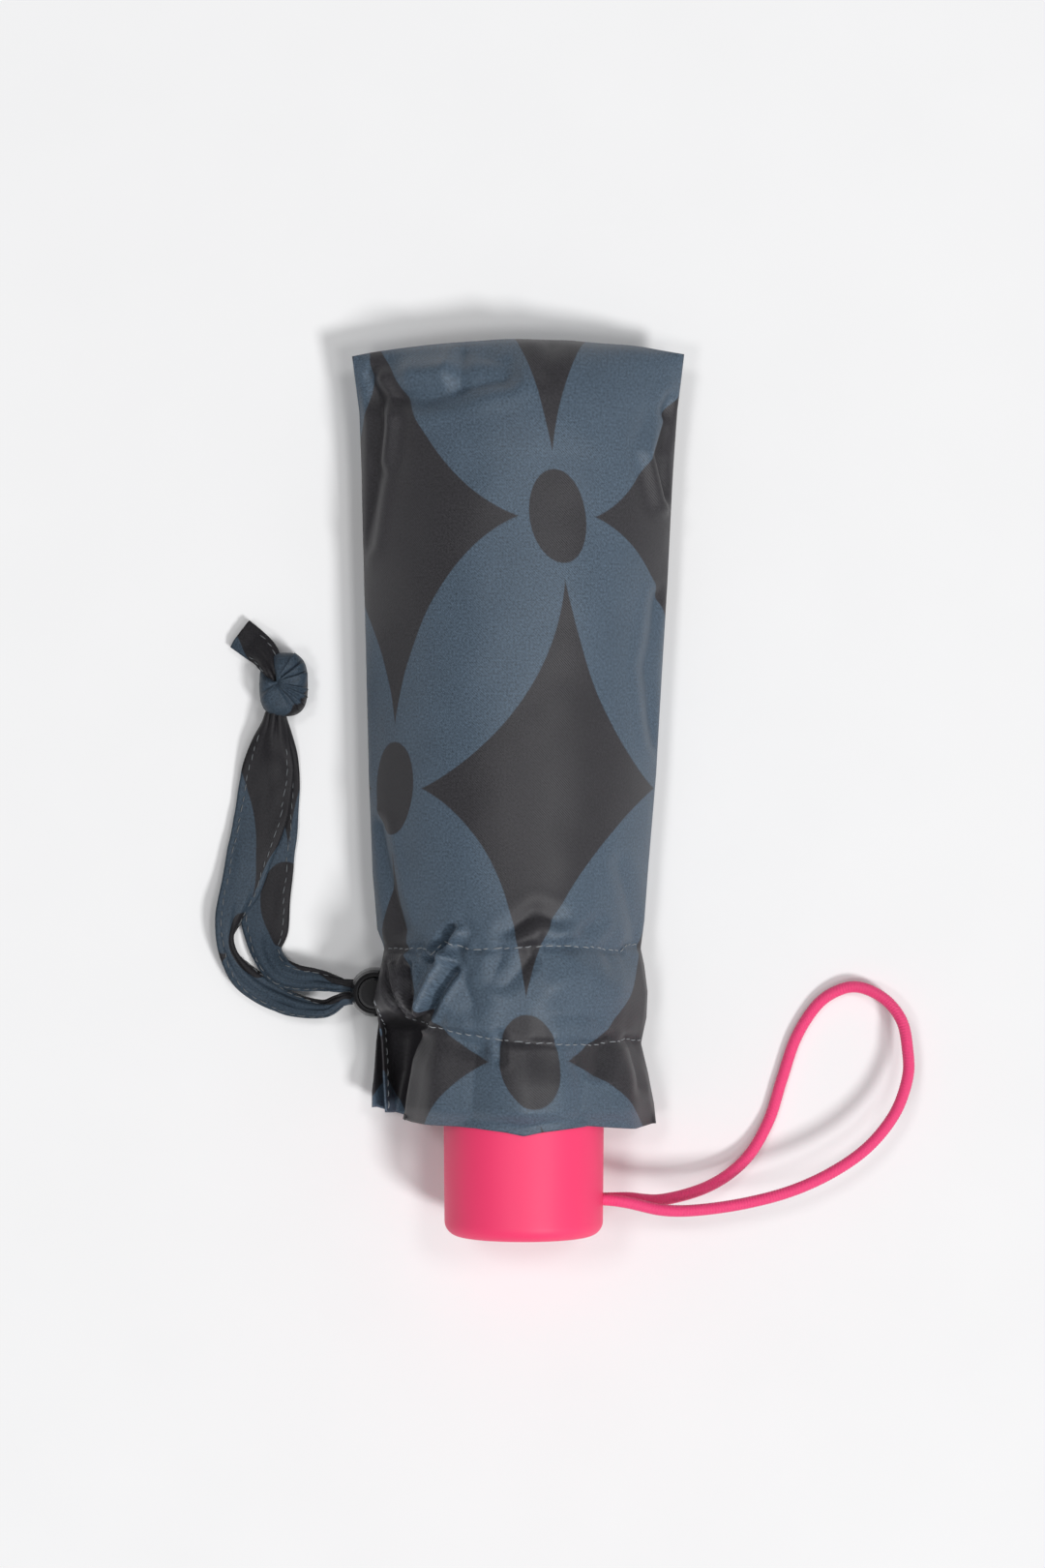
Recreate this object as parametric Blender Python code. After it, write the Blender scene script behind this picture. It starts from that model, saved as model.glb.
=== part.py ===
"""Closed folding umbrella in its drawstring sleeve, lying on its side.

Metres. +Y runs along the shaft to the sleeve's closed end, +Z is up, and z = 0 is the surface below it.
The shaft pieces are modelled along the Z axis of the empty shaft_axis, which lays them along Y.
"""
import math

import bmesh
import bpy
from mathutils import Vector

# Whole object
TOTAL_LENGTH = 0.240
AXIS_X = 0.0015
CLEARANCE = 0.0003
LIE_DOWN = (-math.pi / 2, 0.0, 0.0)
ROUND_SEGMENTS = 32
HANDLE_SEGMENTS = 48
SMALL_SEGMENTS = 24

# Handle
HANDLE_RADIUS = 0.0216
HANDLE_DRAFT = 0.0003
HANDLE_LENGTH = 0.045
HANDLE_WALL = 0.0024
HANDLE_END_WALL = 0.003
HANDLE_EDGE = 0.0040
HANDLE_LIP = 0.0007
SOCKET_DEPTH = 0.013
LOOP_HOLE_FROM_END = 0.0097
LOOP_CORD = 0.0032
LOOP_STRAND_OFFSET = 0.0018
LOOP_STRAND_DROP = 0.0010
LOOP_STRAND_LEAN = 0.0008
ANCHOR_LENGTH = 0.008
ANCHOR_FACE_RADIUS = 0.012

# Telescopic shaft
UPPER_TUBE_RADIUS = 0.0050
TUBE_WALL = 0.0005
TUBE_STEP = 0.0015
TUBE_OVERLAP_TOP = 0.043

# Crown, runner and their wires
CROWN_SETBACK = 0.024
CROWN_HALF_HEIGHT = 0.004
HUB_RADIUS = 0.0102
PIVOT_RADIUS = 0.0078
WIRE_RADIUS = 0.0004
RUNNER_RISE = 0.011
RUNNER_FLANGE = 0.007
RUNNER_SKIRT = 0.009
RUNNER_SKIRT_WALL = 0.0014
CAP_RADIUS = 0.0070
CAP_HEIGHT = 0.0085
CAP_STEM_DEPTH = 0.006

# Runner catch in its slot of the upper tube
CATCH_LENGTH = 0.008
CATCH_WIDTH = 0.0020
CATCH_STAND = 0.0016
CATCH_PLATE = 0.0012
CATCH_FLANGE = 0.0010
CATCH_BELOW_CROWN = 0.031
SPRING_LEAF = 0.0004

# Ribs: radial depth of each lane, counted from the tube outwards
RIB_COUNT = 8
RIB_WIDTH = 0.0024
LANE_GAP = 0.0004
STRETCHER_DEPTH = 0.0016
TOP_RIB_DEPTH = 0.0020
MIDDLE_RIB_DEPTH = 0.0014
TIP_RIB_DEPTH = 0.0014
EYE_RADIUS = 0.0014
EYE_HOLE = 0.0008
EYE_SHOULDER = 1.6
KNUCKLE_RADIUS = 0.0015
KNUCKLE_HOLE = 0.00095
KNUCKLE_OPENING = 55.0
KNUCKLE_END = 290.0
NUB_RADIUS = 0.0006
NECK_WIDTH = 0.0006
NECK_LENGTH = 0.0022
TIP_BEAD_RADIUS = 0.0011
KNUCKLE_ABOVE_RUNNER = 0.0045
FOLD_BELOW_CROWN = 0.010
TIP_ABOVE_HANDLE = 0.0015
STRETCHER_SHARE = 0.506

# Canopy folded round the ribs, and its tie strap
CANOPY_FOLDS = 0.0064
CANOPY_CROWN_FOLDS = 0.0030
CANOPY_TOP_LAYER = 0.0016
PLEAT_DEPTH = 0.0016
PLEAT_TWIST = 1.1
CANOPY_ABOVE_HANDLE = 0.006
TIE_WIDTH = 0.010
TIE_LENGTH = 0.062
TIE_THICKNESS = 0.0009

# Sleeve: wings are how far it reaches past the umbrella on each side
SLEEVE_WALL = 0.0008
SLEEVE_EASE = 0.0006
SLEEVE_MOUTH_FROM_END = 0.0290
SLEEVE_EDGE_HEIGHT = 0.0130
SLEEVE_EDGE_THICKNESS = 0.0016
SLEEVE_SEAM_HEIGHT = 0.0160
SLEEVE_SEAM_ALLOWANCE = 0.0040
SLEEVE_SIDE_FOLD = 0.0045
SLEEVE_MOUTH_FOLD = 0.0025
SLEEVE_SHOULDER = 0.032
SLEEVE_TAPER = 0.0050
SLEEVE_FULLNESS = 0.84
SLEEVE_FLAT_SHARE = 0.5
SLEEVE_STEPS_ACROSS = 24
CHANNEL_FROM_END = 0.0648
CHANNEL_HALF_HEIGHT = 0.0127
MOUTH_WINGS = (0.0183, 0.0128)
STITCH_WINGS = (0.0150, 0.0098)
CHANNEL_WINGS = (0.0110, 0.0108)
BODY_WINGS = (
    # distance from the seam, left wing, right wing
    (0.155, 0.0178, 0.0103),
    (0.140, 0.0188, 0.0108),
    (0.116, 0.0199, 0.0136),
    (0.090, 0.0204, 0.0150),
    (0.064, 0.0212, 0.0168),
    (0.038, 0.0217, 0.0182),
    (0.017, 0.0222, 0.0195),
    (0.000, 0.0236, 0.0206),
)
SHOULDER_RINGS = (0.0, 0.3, 0.7, 0.84)

# Folds in the sleeve's top: a puff over the drawstring, a swell beside the toggle, flutes at the mouth
FOLD_RING_PITCH = 0.0043
CHANNEL_PUFF = 0.0020
FLUTE_DEPTH = 0.0024
FLUTE_PITCH = 0.0275
FLUTE_RUN = 0.010
SWELL_ROUNDNESS = 3.6
PLAIN_ROUNDNESS = 2.0
SIDE_PLEAT_DEPTH = 0.0065
SIDE_PLEAT_OFFSET = 0.0325
SIDE_PLEAT_HALF_WIDTH = 0.0075
FOLD_FADE = 0.6

# Drawstring: one flat tape, bunched where it passes the channel, the toggle and the knot
RUN_WIDTH = 0.008
RUN_THICKNESS = 0.0009
TAPE_WIDTH = 0.0145
TAPE_THICKNESS = 0.0014
TAPE_BUNCH_WIDTH = 0.0030
TAPE_BUNCH_THICKNESS = 0.0024
STRAND_SPACING = 0.0034
KNOT_CENTRE = Vector((-0.0643, 0.0275, 0.0063))
KNOT_HALF_LENGTH = 0.0078
KNOT_RADIUS = 0.0061
KNOT_END_RADIUS = 0.0044
KNOT_TAPE_SHARE = 0.2
KNOT_TAPE_OFFSET = 0.0020
KNOT_TAIL_SHARE = 0.4
TAIL_WIDTH = 0.0080
TAIL_THICKNESS = 0.0022

# Toggle
TOGGLE_RADIUS = 0.0068
TOGGLE_HEIGHT = 0.0140
TOGGLE_END_SHARE = 0.72
BUTTON_RADIUS = 0.0042
BUTTON_STAND = 0.0012
BUTTON_TRAVEL = 0.0018
TOGGLE_FLOOR = 0.0012
TOGGLE_SPRING_HEIGHT = 0.0028
SPRING_WIRE = 0.00022
SPRING_TURNS = 2.5
SPRING_TURN_POINTS = 10

# Places along the shaft, from the driving dimensions
HANDLE_END = -TOTAL_LENGTH / 2
SEAM_END = TOTAL_LENGTH / 2
HANDLE_TOP = HANDLE_END + HANDLE_LENGTH
CROWN_PIVOT = SEAM_END - CROWN_SETBACK
CROWN_TOP = CROWN_PIVOT + CROWN_HALF_HEIGHT
RUNNER_TOP = HANDLE_TOP + RUNNER_RISE
RUNNER_PIVOT = RUNNER_TOP - RUNNER_FLANGE / 2
RUNNER_BASE = RUNNER_TOP - RUNNER_FLANGE - RUNNER_SKIRT
UPPER_TUBE_BASE = RUNNER_BASE - TUBE_STEP
MIDDLE_TUBE_BASE = UPPER_TUBE_BASE - TUBE_STEP
CORE_TOP = MIDDLE_TUBE_BASE - TUBE_STEP
CORE_BASE = HANDLE_END + HANDLE_END_WALL + CLEARANCE
LOOP_HOLE = HANDLE_END + LOOP_HOLE_FROM_END
SOCKET_BASE = CORE_TOP - SOCKET_DEPTH
MIDDLE_TUBE_TOP = CROWN_PIVOT - TUBE_OVERLAP_TOP
LOWER_TUBE_TOP = MIDDLE_TUBE_TOP - TUBE_STEP
CATCH_MIDDLE = CROWN_PIVOT - CATCH_BELOW_CROWN
CHANNEL = HANDLE_END + CHANNEL_FROM_END
SLEEVE_MOUTH = HANDLE_END + SLEEVE_MOUTH_FROM_END

# Radii of the shaft and of the rib lanes, each from the one inside it
MIDDLE_TUBE_RADIUS = UPPER_TUBE_RADIUS - TUBE_WALL - CLEARANCE
LOWER_TUBE_RADIUS = MIDDLE_TUBE_RADIUS - TUBE_WALL - CLEARANCE
HUB_BORE = UPPER_TUBE_RADIUS + CLEARANCE
STRETCHER_LANE = UPPER_TUBE_RADIUS + LANE_GAP
TOP_LANE = max(STRETCHER_LANE + STRETCHER_DEPTH + LANE_GAP, PIVOT_RADIUS - CLEARANCE)
MIDDLE_LANE = TOP_LANE + TOP_RIB_DEPTH + LANE_GAP
TIP_LANE = MIDDLE_LANE + MIDDLE_RIB_DEPTH + LANE_GAP
RIBS_RADIUS = TIP_LANE + TIP_RIB_DEPTH
CANOPY_BORE = RIBS_RADIUS + 2 * LANE_GAP
CANOPY_RADIUS = CANOPY_BORE + CANOPY_FOLDS
CANOPY_CROWN_RADIUS = CANOPY_BORE + CANOPY_CROWN_FOLDS
CANOPY_BASE = HANDLE_TOP + CANOPY_ABOVE_HANDLE

# Room inside the sleeve: for the handle, and for the canopy with the drawstring round it
SLEEVE_ROOM = max(HANDLE_RADIUS + SLEEVE_EASE, CANOPY_RADIUS + RUN_THICKNESS + 2 * CLEARANCE)
AXIS_HEIGHT = SLEEVE_WALL + SLEEVE_ROOM
SLEEVE_HEIGHT = 2 * AXIS_HEIGHT

# Stretchers reach this share of the way from the runner's wire to the crown's
STRETCHER_LENGTH = STRETCHER_SHARE * (CROWN_PIVOT - RUNNER_PIVOT)

# Wrist loop route past the hole, chosen by hand: held up on the way out, on the floor from its tip back
LOOP_ROUTE = (
    (0.0389, -0.1133, 0.0228),
    (0.0483, -0.1135, 0.0208),
    (0.0612, -0.1119, 0.0185),
    (0.0739, -0.1087, 0.0168),
    (0.0854, -0.1036, 0.0152),
    (0.0950, -0.0969, 0.0138),
    (0.1022, -0.0881, 0.0122),
    (0.1058, -0.0785, 0.0105),
    (0.1059, -0.0709, 0.0090),
    (0.1045, -0.0634, 0.0072),
    (0.1002, -0.0577, 0.0054),
    (0.0939, -0.0545, 0.0038),
    (0.0882, -0.0550, 0.0027),
    (0.0819, -0.0592, 0.0019),
    (0.0761, -0.0682, 0.0017),
    (0.0721, -0.0799, 0.0017),
    (0.0684, -0.0913, 0.0020),
    (0.0620, -0.1014, 0.0042),
    (0.0520, -0.1081, 0.0090),
    (0.0391, -0.1112, 0.0155),
)
LOOP_POINT_STEP = 0.0075

# Strand routes from the toggle to the knot, chosen by hand: place and share of the full tape width
INNER_STRAND_ROUTE = (
    (-0.0544, -0.0519, 0.0108, 0.26),
    (-0.0618, -0.0510, 0.0070, 0.32),
    (-0.0668, -0.0480, 0.0042, 0.30),
    (-0.0692, -0.0434, 0.0023, 0.50),
    (-0.0692, -0.0370, 0.0010, 0.88),
    (-0.0694, -0.0289, 0.0009, 0.95),
    (-0.0689, -0.0223, 0.0009, 1.00),
    (-0.0680, -0.0135, 0.0009, 1.00),
    (-0.0673, -0.0039, 0.0009, 1.00),
    (-0.0667, 0.0034, 0.0010, 0.95),
    (-0.0664, 0.0093, 0.0018, 0.75),
)
OUTER_STRAND_ROUTE = (
    (-0.0533, -0.0602, 0.0100, 0.13),
    (-0.0614, -0.0597, 0.0068, 0.25),
    (-0.0682, -0.0567, 0.0044, 0.26),
    (-0.0742, -0.0516, 0.0030, 0.28),
    (-0.0778, -0.0469, 0.0022, 0.25),
    (-0.0799, -0.0421, 0.0026, 0.25),
    (-0.0788, -0.0355, 0.0033, 0.35),
    (-0.0754, -0.0267, 0.0031, 0.66),
    (-0.0732, -0.0171, 0.0028, 0.82),
    (-0.0706, -0.0083, 0.0028, 1.00),
    (-0.0691, 0.0005, 0.0028, 1.00),
    (-0.0681, 0.0064, 0.0039, 0.95),
    (-0.0673, 0.0120, 0.0060, 0.65),
)
TAIL_ROUTE = (
    (-0.0680, 0.0396, 0.0054, 0.42),
    (-0.0708, 0.0413, 0.0042, 0.75),
    (-0.0747, 0.0428, 0.0030, 1.00),
)


def clear_scene():
    for item in list(bpy.data.objects):
        bpy.data.objects.remove(item, do_unlink=True)


def make_material(name, colour, roughness, metallic=0.0):
    material = bpy.data.materials.new(name)
    material.use_nodes = True
    shader = material.node_tree.nodes["Principled BSDF"]
    shader.inputs["Base Color"].default_value = (*colour, 1.0)
    shader.inputs["Roughness"].default_value = roughness
    shader.inputs["Metallic"].default_value = metallic
    return material


def make_materials():
    return {
        "slate_fabric": make_material("slate_fabric", (0.075, 0.105, 0.145), 0.70),
        "tape_fabric": make_material("tape_fabric", (0.050, 0.060, 0.075), 0.75),
        "canopy_fabric": make_material("canopy_fabric", (0.048, 0.048, 0.056), 0.60),
        "pink_plastic": make_material("pink_plastic", (0.95, 0.055, 0.165), 0.50),
        "pink_cord": make_material("pink_cord", (0.70, 0.030, 0.150), 0.65),
        "black_plastic": make_material("black_plastic", (0.014, 0.014, 0.016), 0.30),
        "steel": make_material("steel", (0.60, 0.60, 0.62), 0.30, 1.0),
        "rib_steel": make_material("rib_steel", (0.10, 0.10, 0.11), 0.40, 1.0),
    }


def make_empty(name, location, rotation=(0.0, 0.0, 0.0), parent=None):
    empty = bpy.data.objects.new(name, None)
    empty.location = location
    empty.rotation_euler = rotation
    empty.parent = parent
    bpy.context.collection.objects.link(empty)
    return empty


def mesh_from_faces(name, points, faces):
    """A mesh with outward normals, smooth but for its sharp edges."""
    mesh = bpy.data.meshes.new(name)
    shape = bmesh.new()
    corners = [shape.verts.new(point) for point in points]
    for face in faces:
        shape.faces.new([corners[index] for index in face])
    bmesh.ops.recalc_face_normals(shape, faces=shape.faces)
    shape.to_mesh(mesh)
    shape.free()
    mesh.shade_smooth()
    mesh.set_sharp_from_angle(angle=math.radians(40.0))
    return mesh


def place(name, mesh, material, parent=None, location=(0.0, 0.0, 0.0), rotation=(0.0, 0.0, 0.0)):
    item = bpy.data.objects.new(name, mesh)
    if not mesh.materials:
        mesh.materials.append(material)
    item.parent = parent
    item.location = location
    item.rotation_euler = rotation
    bpy.context.collection.objects.link(item)
    return item


def cut(target, cutter):
    """Cut the cutter out of the target, and keep the cutter as a hidden guide."""
    cutter.hide_render = True
    cutter.display_type = "WIRE"
    modifier = target.modifiers.new(cutter.name, "BOOLEAN")
    modifier.operation = "DIFFERENCE"
    modifier.solver = "EXACT"
    modifier.object = cutter


def arc(centre, radius, start, end, steps):
    """Points on a circle, from one angle to another in degrees, both ends included."""
    points = []
    for step in range(steps + 1):
        angle = math.radians(start + (end - start) * step / steps)
        points.append((centre[0] + radius * math.cos(angle), centre[1] + radius * math.sin(angle)))
    return points


def lathe(name, profile, segments=ROUND_SEGMENTS):
    """Turn a profile of (radius, height) about Z. A profile that leaves the axis free makes a ring."""
    points = []
    rings = []
    for radius, height in profile:
        if radius == 0.0:
            rings.append([len(points)])
            points.append((0.0, 0.0, height))
            continue
        rings.append(list(range(len(points), len(points) + segments)))
        for step in range(segments):
            angle = 2.0 * math.pi * step / segments
            points.append((radius * math.cos(angle), radius * math.sin(angle), height))
    closed = len(rings[0]) > 1
    faces = []
    for index in range(len(rings) if closed else len(rings) - 1):
        faces += bridge(rings[index], rings[(index + 1) % len(rings)])
    return mesh_from_faces(name, points, faces)


def bridge(first, second):
    """Faces between two rings of equal count, or between a ring and a single point."""
    count = max(len(first), len(second))
    faces = []
    for step in range(count):
        ahead = (step + 1) % count
        face = [first[step % len(first)], first[ahead % len(first)]]
        face += [second[ahead % len(second)], second[step % len(second)]]
        faces.append(tuple(dict.fromkeys(face)))
    return faces


def loft(name, rings, closed=False):
    """Skin rings of equal count. An open loft is capped, a closed one joins its last ring to its first."""
    count = len(rings[0])
    points = [point for ring in rings for point in ring]
    rows = [list(range(row * count, (row + 1) * count)) for row in range(len(rings))]
    faces = []
    for row in range(len(rows) if closed else len(rows) - 1):
        faces += bridge(rows[row], rows[(row + 1) % len(rows)])
    if not closed:
        faces += [tuple(reversed(rows[0])), tuple(rows[-1])]
    return mesh_from_faces(name, points, faces)


def extruded(name, outline, width):
    """A flat outline of (radial, axial) points, made as thick as the width across the shaft."""
    count = len(outline)
    points = [(u, -width / 2, v) for u, v in outline]
    points += [(u, width / 2, v) for u, v in outline]
    front = list(range(count))
    back = list(range(count, 2 * count))
    faces = bridge(front, back) + [tuple(front), tuple(reversed(back))]
    return mesh_from_faces(name, points, faces)


def box(name, low, high):
    xs, ys, zs = zip(low, high)
    corners = [(x, y, z) for x in xs for y in ys for z in zs]
    faces = [(0, 1, 3, 2), (4, 6, 7, 5), (0, 4, 5, 1), (2, 3, 7, 6), (0, 2, 6, 4), (1, 5, 7, 3)]
    return mesh_from_faces(name, corners, faces)


def smooth_path(points, steps):
    """Points on a smooth curve through the given ones, each of any number of values."""
    padded = [points[0], *points, points[-1]]
    result = []
    for index in range(1, len(padded) - 2):
        before, start, end, after = padded[index - 1:index + 3]
        for step in range(steps):
            t = step / steps
            value = []
            for a, b, c, d in zip(before, start, end, after):
                cubic = (3 * b - a - 3 * c + d) * t ** 3
                square = (2 * a - 5 * b + 4 * c - d) * t ** 2
                value.append(0.5 * (2 * b + (c - a) * t + square + cubic))
            result.append(tuple(value))
    result.append(tuple(points[-1]))
    return result


def evenly(path, spacing):
    """The same path with its points about one spacing apart."""
    path = [Vector(point) for point in path]
    lengths = [0.0]
    for start, end in zip(path, path[1:]):
        lengths.append(lengths[-1] + (end - start).length)
    count = max(2, round(lengths[-1] / spacing))
    result = []
    index = 0
    for step in range(count + 1):
        target = lengths[-1] * step / count
        while index < len(path) - 2 and lengths[index + 1] < target:
            index += 1
        share = (target - lengths[index]) / (lengths[index + 1] - lengths[index])
        result.append(path[index].lerp(path[index + 1], share))
    return result


def tape(name, stations, chamfer=0.3):
    """A flat band with eased edges through stations of (place, width, thickness), its flat side up."""
    rings = []
    for index, (centre, width, thickness) in enumerate(stations):
        ahead = stations[min(index + 1, len(stations) - 1)][0]
        behind = stations[max(index - 1, 0)][0]
        along = (Vector(ahead) - Vector(behind)).normalized()
        across = along.cross(Vector((0.0, 0.0, 1.0))).normalized()
        up = across.cross(along).normalized()
        ease = chamfer * thickness
        half_w = width / 2
        half_t = thickness / 2
        flat = half_w - ease
        side = half_t - ease
        section = [(half_w, side), (flat, half_t), (-flat, half_t), (-half_w, side)]
        section += [(-a, -b) for a, b in section]
        rings.append([Vector(centre) + across * a + up * b for a, b in section])
    return loft(name, rings)


def rib_angle(index):
    return 2.0 * math.pi * (index + 0.5) / RIB_COUNT


# Handle


def build_handle(materials, shaft):
    base_radius = HANDLE_RADIUS - HANDLE_DRAFT
    bore = base_radius - HANDLE_WALL
    edge_centre = (base_radius - HANDLE_EDGE, HANDLE_END + HANDLE_EDGE)
    profile = [(0.0, HANDLE_END)]
    profile += arc(edge_centre, HANDLE_EDGE, -90.0, 0.0, 6)
    profile += [
        (HANDLE_RADIUS, HANDLE_TOP - HANDLE_LIP),
        (HANDLE_RADIUS - HANDLE_LIP, HANDLE_TOP),
        (bore + HANDLE_LIP, HANDLE_TOP),
        (bore, HANDLE_TOP - HANDLE_LIP),
        (bore, HANDLE_END + HANDLE_END_WALL),
        (0.0, HANDLE_END + HANDLE_END_WALL),
    ]
    shell_mesh = lathe("handle_shell", profile, HANDLE_SEGMENTS)
    shell = place("handle_shell", shell_mesh, materials["pink_plastic"], shaft)

    half_slot = LOOP_CORD / 2 + CLEARANCE
    half_stack = LOOP_STRAND_OFFSET + half_slot
    hole_mesh = box(
        "loop_hole",
        (bore / 2, -half_stack, LOOP_HOLE - half_slot),
        (2 * HANDLE_RADIUS, half_stack, LOOP_HOLE + half_slot),
    )
    cut(shell, place("loop_hole", hole_mesh, materials["black_plastic"], shaft))

    core_radius = bore - CLEARANCE
    socket = LOWER_TUBE_RADIUS + CLEARANCE
    core_profile = [
        (0.0, CORE_BASE),
        (core_radius, CORE_BASE),
        (core_radius, CORE_TOP),
        (socket, CORE_TOP),
        (socket, SOCKET_BASE),
        (0.0, SOCKET_BASE),
    ]
    core = place("handle_core", lathe("handle_core", core_profile), materials["black_plastic"], shaft)
    pocket_back = ANCHOR_FACE_RADIUS - ANCHOR_LENGTH - CLEARANCE
    pocket_mesh = box(
        "anchor_pocket",
        (pocket_back, -half_stack - CLEARANCE, LOOP_HOLE - half_slot - CLEARANCE),
        (2 * HANDLE_RADIUS, half_stack + CLEARANCE, LOOP_HOLE + half_slot + CLEARANCE),
    )
    cut(core, place("anchor_pocket", pocket_mesh, materials["black_plastic"], shaft))

    anchor_mesh = box(
        "cord_anchor",
        (ANCHOR_FACE_RADIUS - ANCHOR_LENGTH, -half_stack, LOOP_HOLE - half_slot),
        (ANCHOR_FACE_RADIUS, half_stack, LOOP_HOLE + half_slot),
    )
    place("cord_anchor", anchor_mesh, materials["steel"], shaft)


def loop_path():
    """The wrist loop: out of the hole, round on the floor, and back in below itself."""
    start = AXIS_X + ANCHOR_FACE_RADIUS + CLEARANCE
    mouth = AXIS_X + HANDLE_RADIUS
    upper = AXIS_HEIGHT + LOOP_STRAND_OFFSET
    lower = AXIS_HEIGHT - LOOP_STRAND_OFFSET
    clear = mouth + 2 * LOOP_CORD
    lean = LOOP_HOLE - LOOP_STRAND_LEAN
    out = [(start, LOOP_HOLE, upper), (mouth, LOOP_HOLE, upper), (clear, lean, upper)]
    sagged = lower - LOOP_STRAND_DROP
    back = [(clear, LOOP_HOLE, sagged), (mouth, LOOP_HOLE, lower), (start, LOOP_HOLE, lower)]
    return evenly(smooth_path([*out, *LOOP_ROUTE, *back], 12), LOOP_POINT_STEP)


def build_wrist_loop(materials):
    path = loop_path()
    curve = bpy.data.curves.new("wrist_loop", "CURVE")
    curve.dimensions = "3D"
    curve.bevel_depth = LOOP_CORD / 2
    curve.bevel_resolution = 2
    curve.use_fill_caps = True
    spline = curve.splines.new("POLY")
    spline.points.add(len(path) - 1)
    for point, target in zip(spline.points, path):
        point.co = (*target, 1.0)
    curve.materials.append(materials["pink_cord"])
    bpy.context.collection.objects.link(bpy.data.objects.new("wrist_loop", curve))


# Shaft


def tube_mesh(name, radius, base, top):
    inner = radius - TUBE_WALL
    return lathe(name, [(radius, base), (radius, top), (inner, top), (inner, base)])


def build_shaft(materials, shaft):
    steel = materials["steel"]
    upper_mesh = tube_mesh("upper_tube", UPPER_TUBE_RADIUS, UPPER_TUBE_BASE, CROWN_TOP)
    middle_mesh = tube_mesh("middle_tube", MIDDLE_TUBE_RADIUS, MIDDLE_TUBE_BASE, MIDDLE_TUBE_TOP)
    lower_mesh = tube_mesh("lower_tube", LOWER_TUBE_RADIUS, SOCKET_BASE + CLEARANCE, LOWER_TUBE_TOP)
    upper = place("upper_tube", upper_mesh, steel, shaft)
    place("middle_tube", middle_mesh, steel, shaft)
    place("lower_tube", lower_mesh, steel, shaft)
    half_width = CATCH_WIDTH / 2 + CLEARANCE
    half_length = CATCH_LENGTH / 2 + CLEARANCE
    slot_mesh = box(
        "catch_slot",
        (0.0, -half_width, CATCH_MIDDLE - half_length),
        (2 * UPPER_TUBE_RADIUS, half_width, CATCH_MIDDLE + half_length),
    )
    cut(upper, place("catch_slot", slot_mesh, steel, shaft))


def build_catch(materials, shaft):
    """Wedge that holds the raised runner, on a plate inside the tube, with a bowed leaf behind it."""
    inner = UPPER_TUBE_RADIUS - TUBE_WALL
    chord = math.sqrt(inner ** 2 - (CATCH_WIDTH / 2 + CLEARANCE) ** 2)
    front = chord - CLEARANCE
    back = front - CATCH_PLATE
    half = CATCH_LENGTH / 2
    nose = UPPER_TUBE_RADIUS + CATCH_STAND
    outline = [
        (back, -half - CATCH_FLANGE),
        (front, -half - CATCH_FLANGE),
        (front, -half),
        (UPPER_TUBE_RADIUS, -half),
        (nose, half - CATCH_STAND / 2),
        (nose, half),
        (front, half),
        (front, half + CATCH_FLANGE),
        (back, half + CATCH_FLANGE),
    ]
    spot = (0.0, 0.0, CATCH_MIDDLE)
    place("runner_catch", extruded("runner_catch", outline, CATCH_WIDTH), materials["steel"], shaft, spot)
    near = back - CLEARANCE
    far = -chord + CLEARANCE
    leaf = [
        (far, -half),
        (far + SPRING_LEAF, -half),
        (near, -SPRING_LEAF),
        (near, SPRING_LEAF),
        (far + SPRING_LEAF, half),
        (far, half),
        (near - 2 * SPRING_LEAF, 0.0),
    ]
    place("catch_spring", extruded("catch_spring", leaf, CATCH_WIDTH), materials["steel"], shaft, spot)


# Crown, runner and ribs


def cut_rib_slots(hub, middle, half_height, materials, shaft):
    """One slot for each rib eye, open outwards and on both ends of the hub."""
    floor_radius = PIVOT_RADIUS - EYE_RADIUS - CLEARANCE
    half_width = RIB_WIDTH / 2 + CLEARANCE
    slot = box(
        f"{hub.name}_slot",
        (floor_radius, -half_width, -2 * half_height),
        (2 * HUB_RADIUS, half_width, 2 * half_height),
    )
    for index in range(RIB_COUNT):
        turn = (0.0, 0.0, rib_angle(index))
        name = f"{hub.name}_slot_{index + 1}"
        cut(hub, place(name, slot, materials["steel"], shaft, (0.0, 0.0, middle), turn))


def wire_ring(name, height, materials, shaft):
    profile = arc((PIVOT_RADIUS, height), WIRE_RADIUS, 0.0, 300.0, 5)
    place(name, lathe(name, profile, SMALL_SEGMENTS), materials["steel"], shaft)


def groove(height, top):
    """Ring groove for the wire, open at the top face: its outer and inner sides, top to floor to top."""
    outer = PIVOT_RADIUS + WIRE_RADIUS + CLEARANCE
    inner = PIVOT_RADIUS - WIRE_RADIUS - CLEARANCE
    floor = height - WIRE_RADIUS - CLEARANCE
    return [(outer, top), (outer, floor), (inner, floor), (inner, top)]


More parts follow.
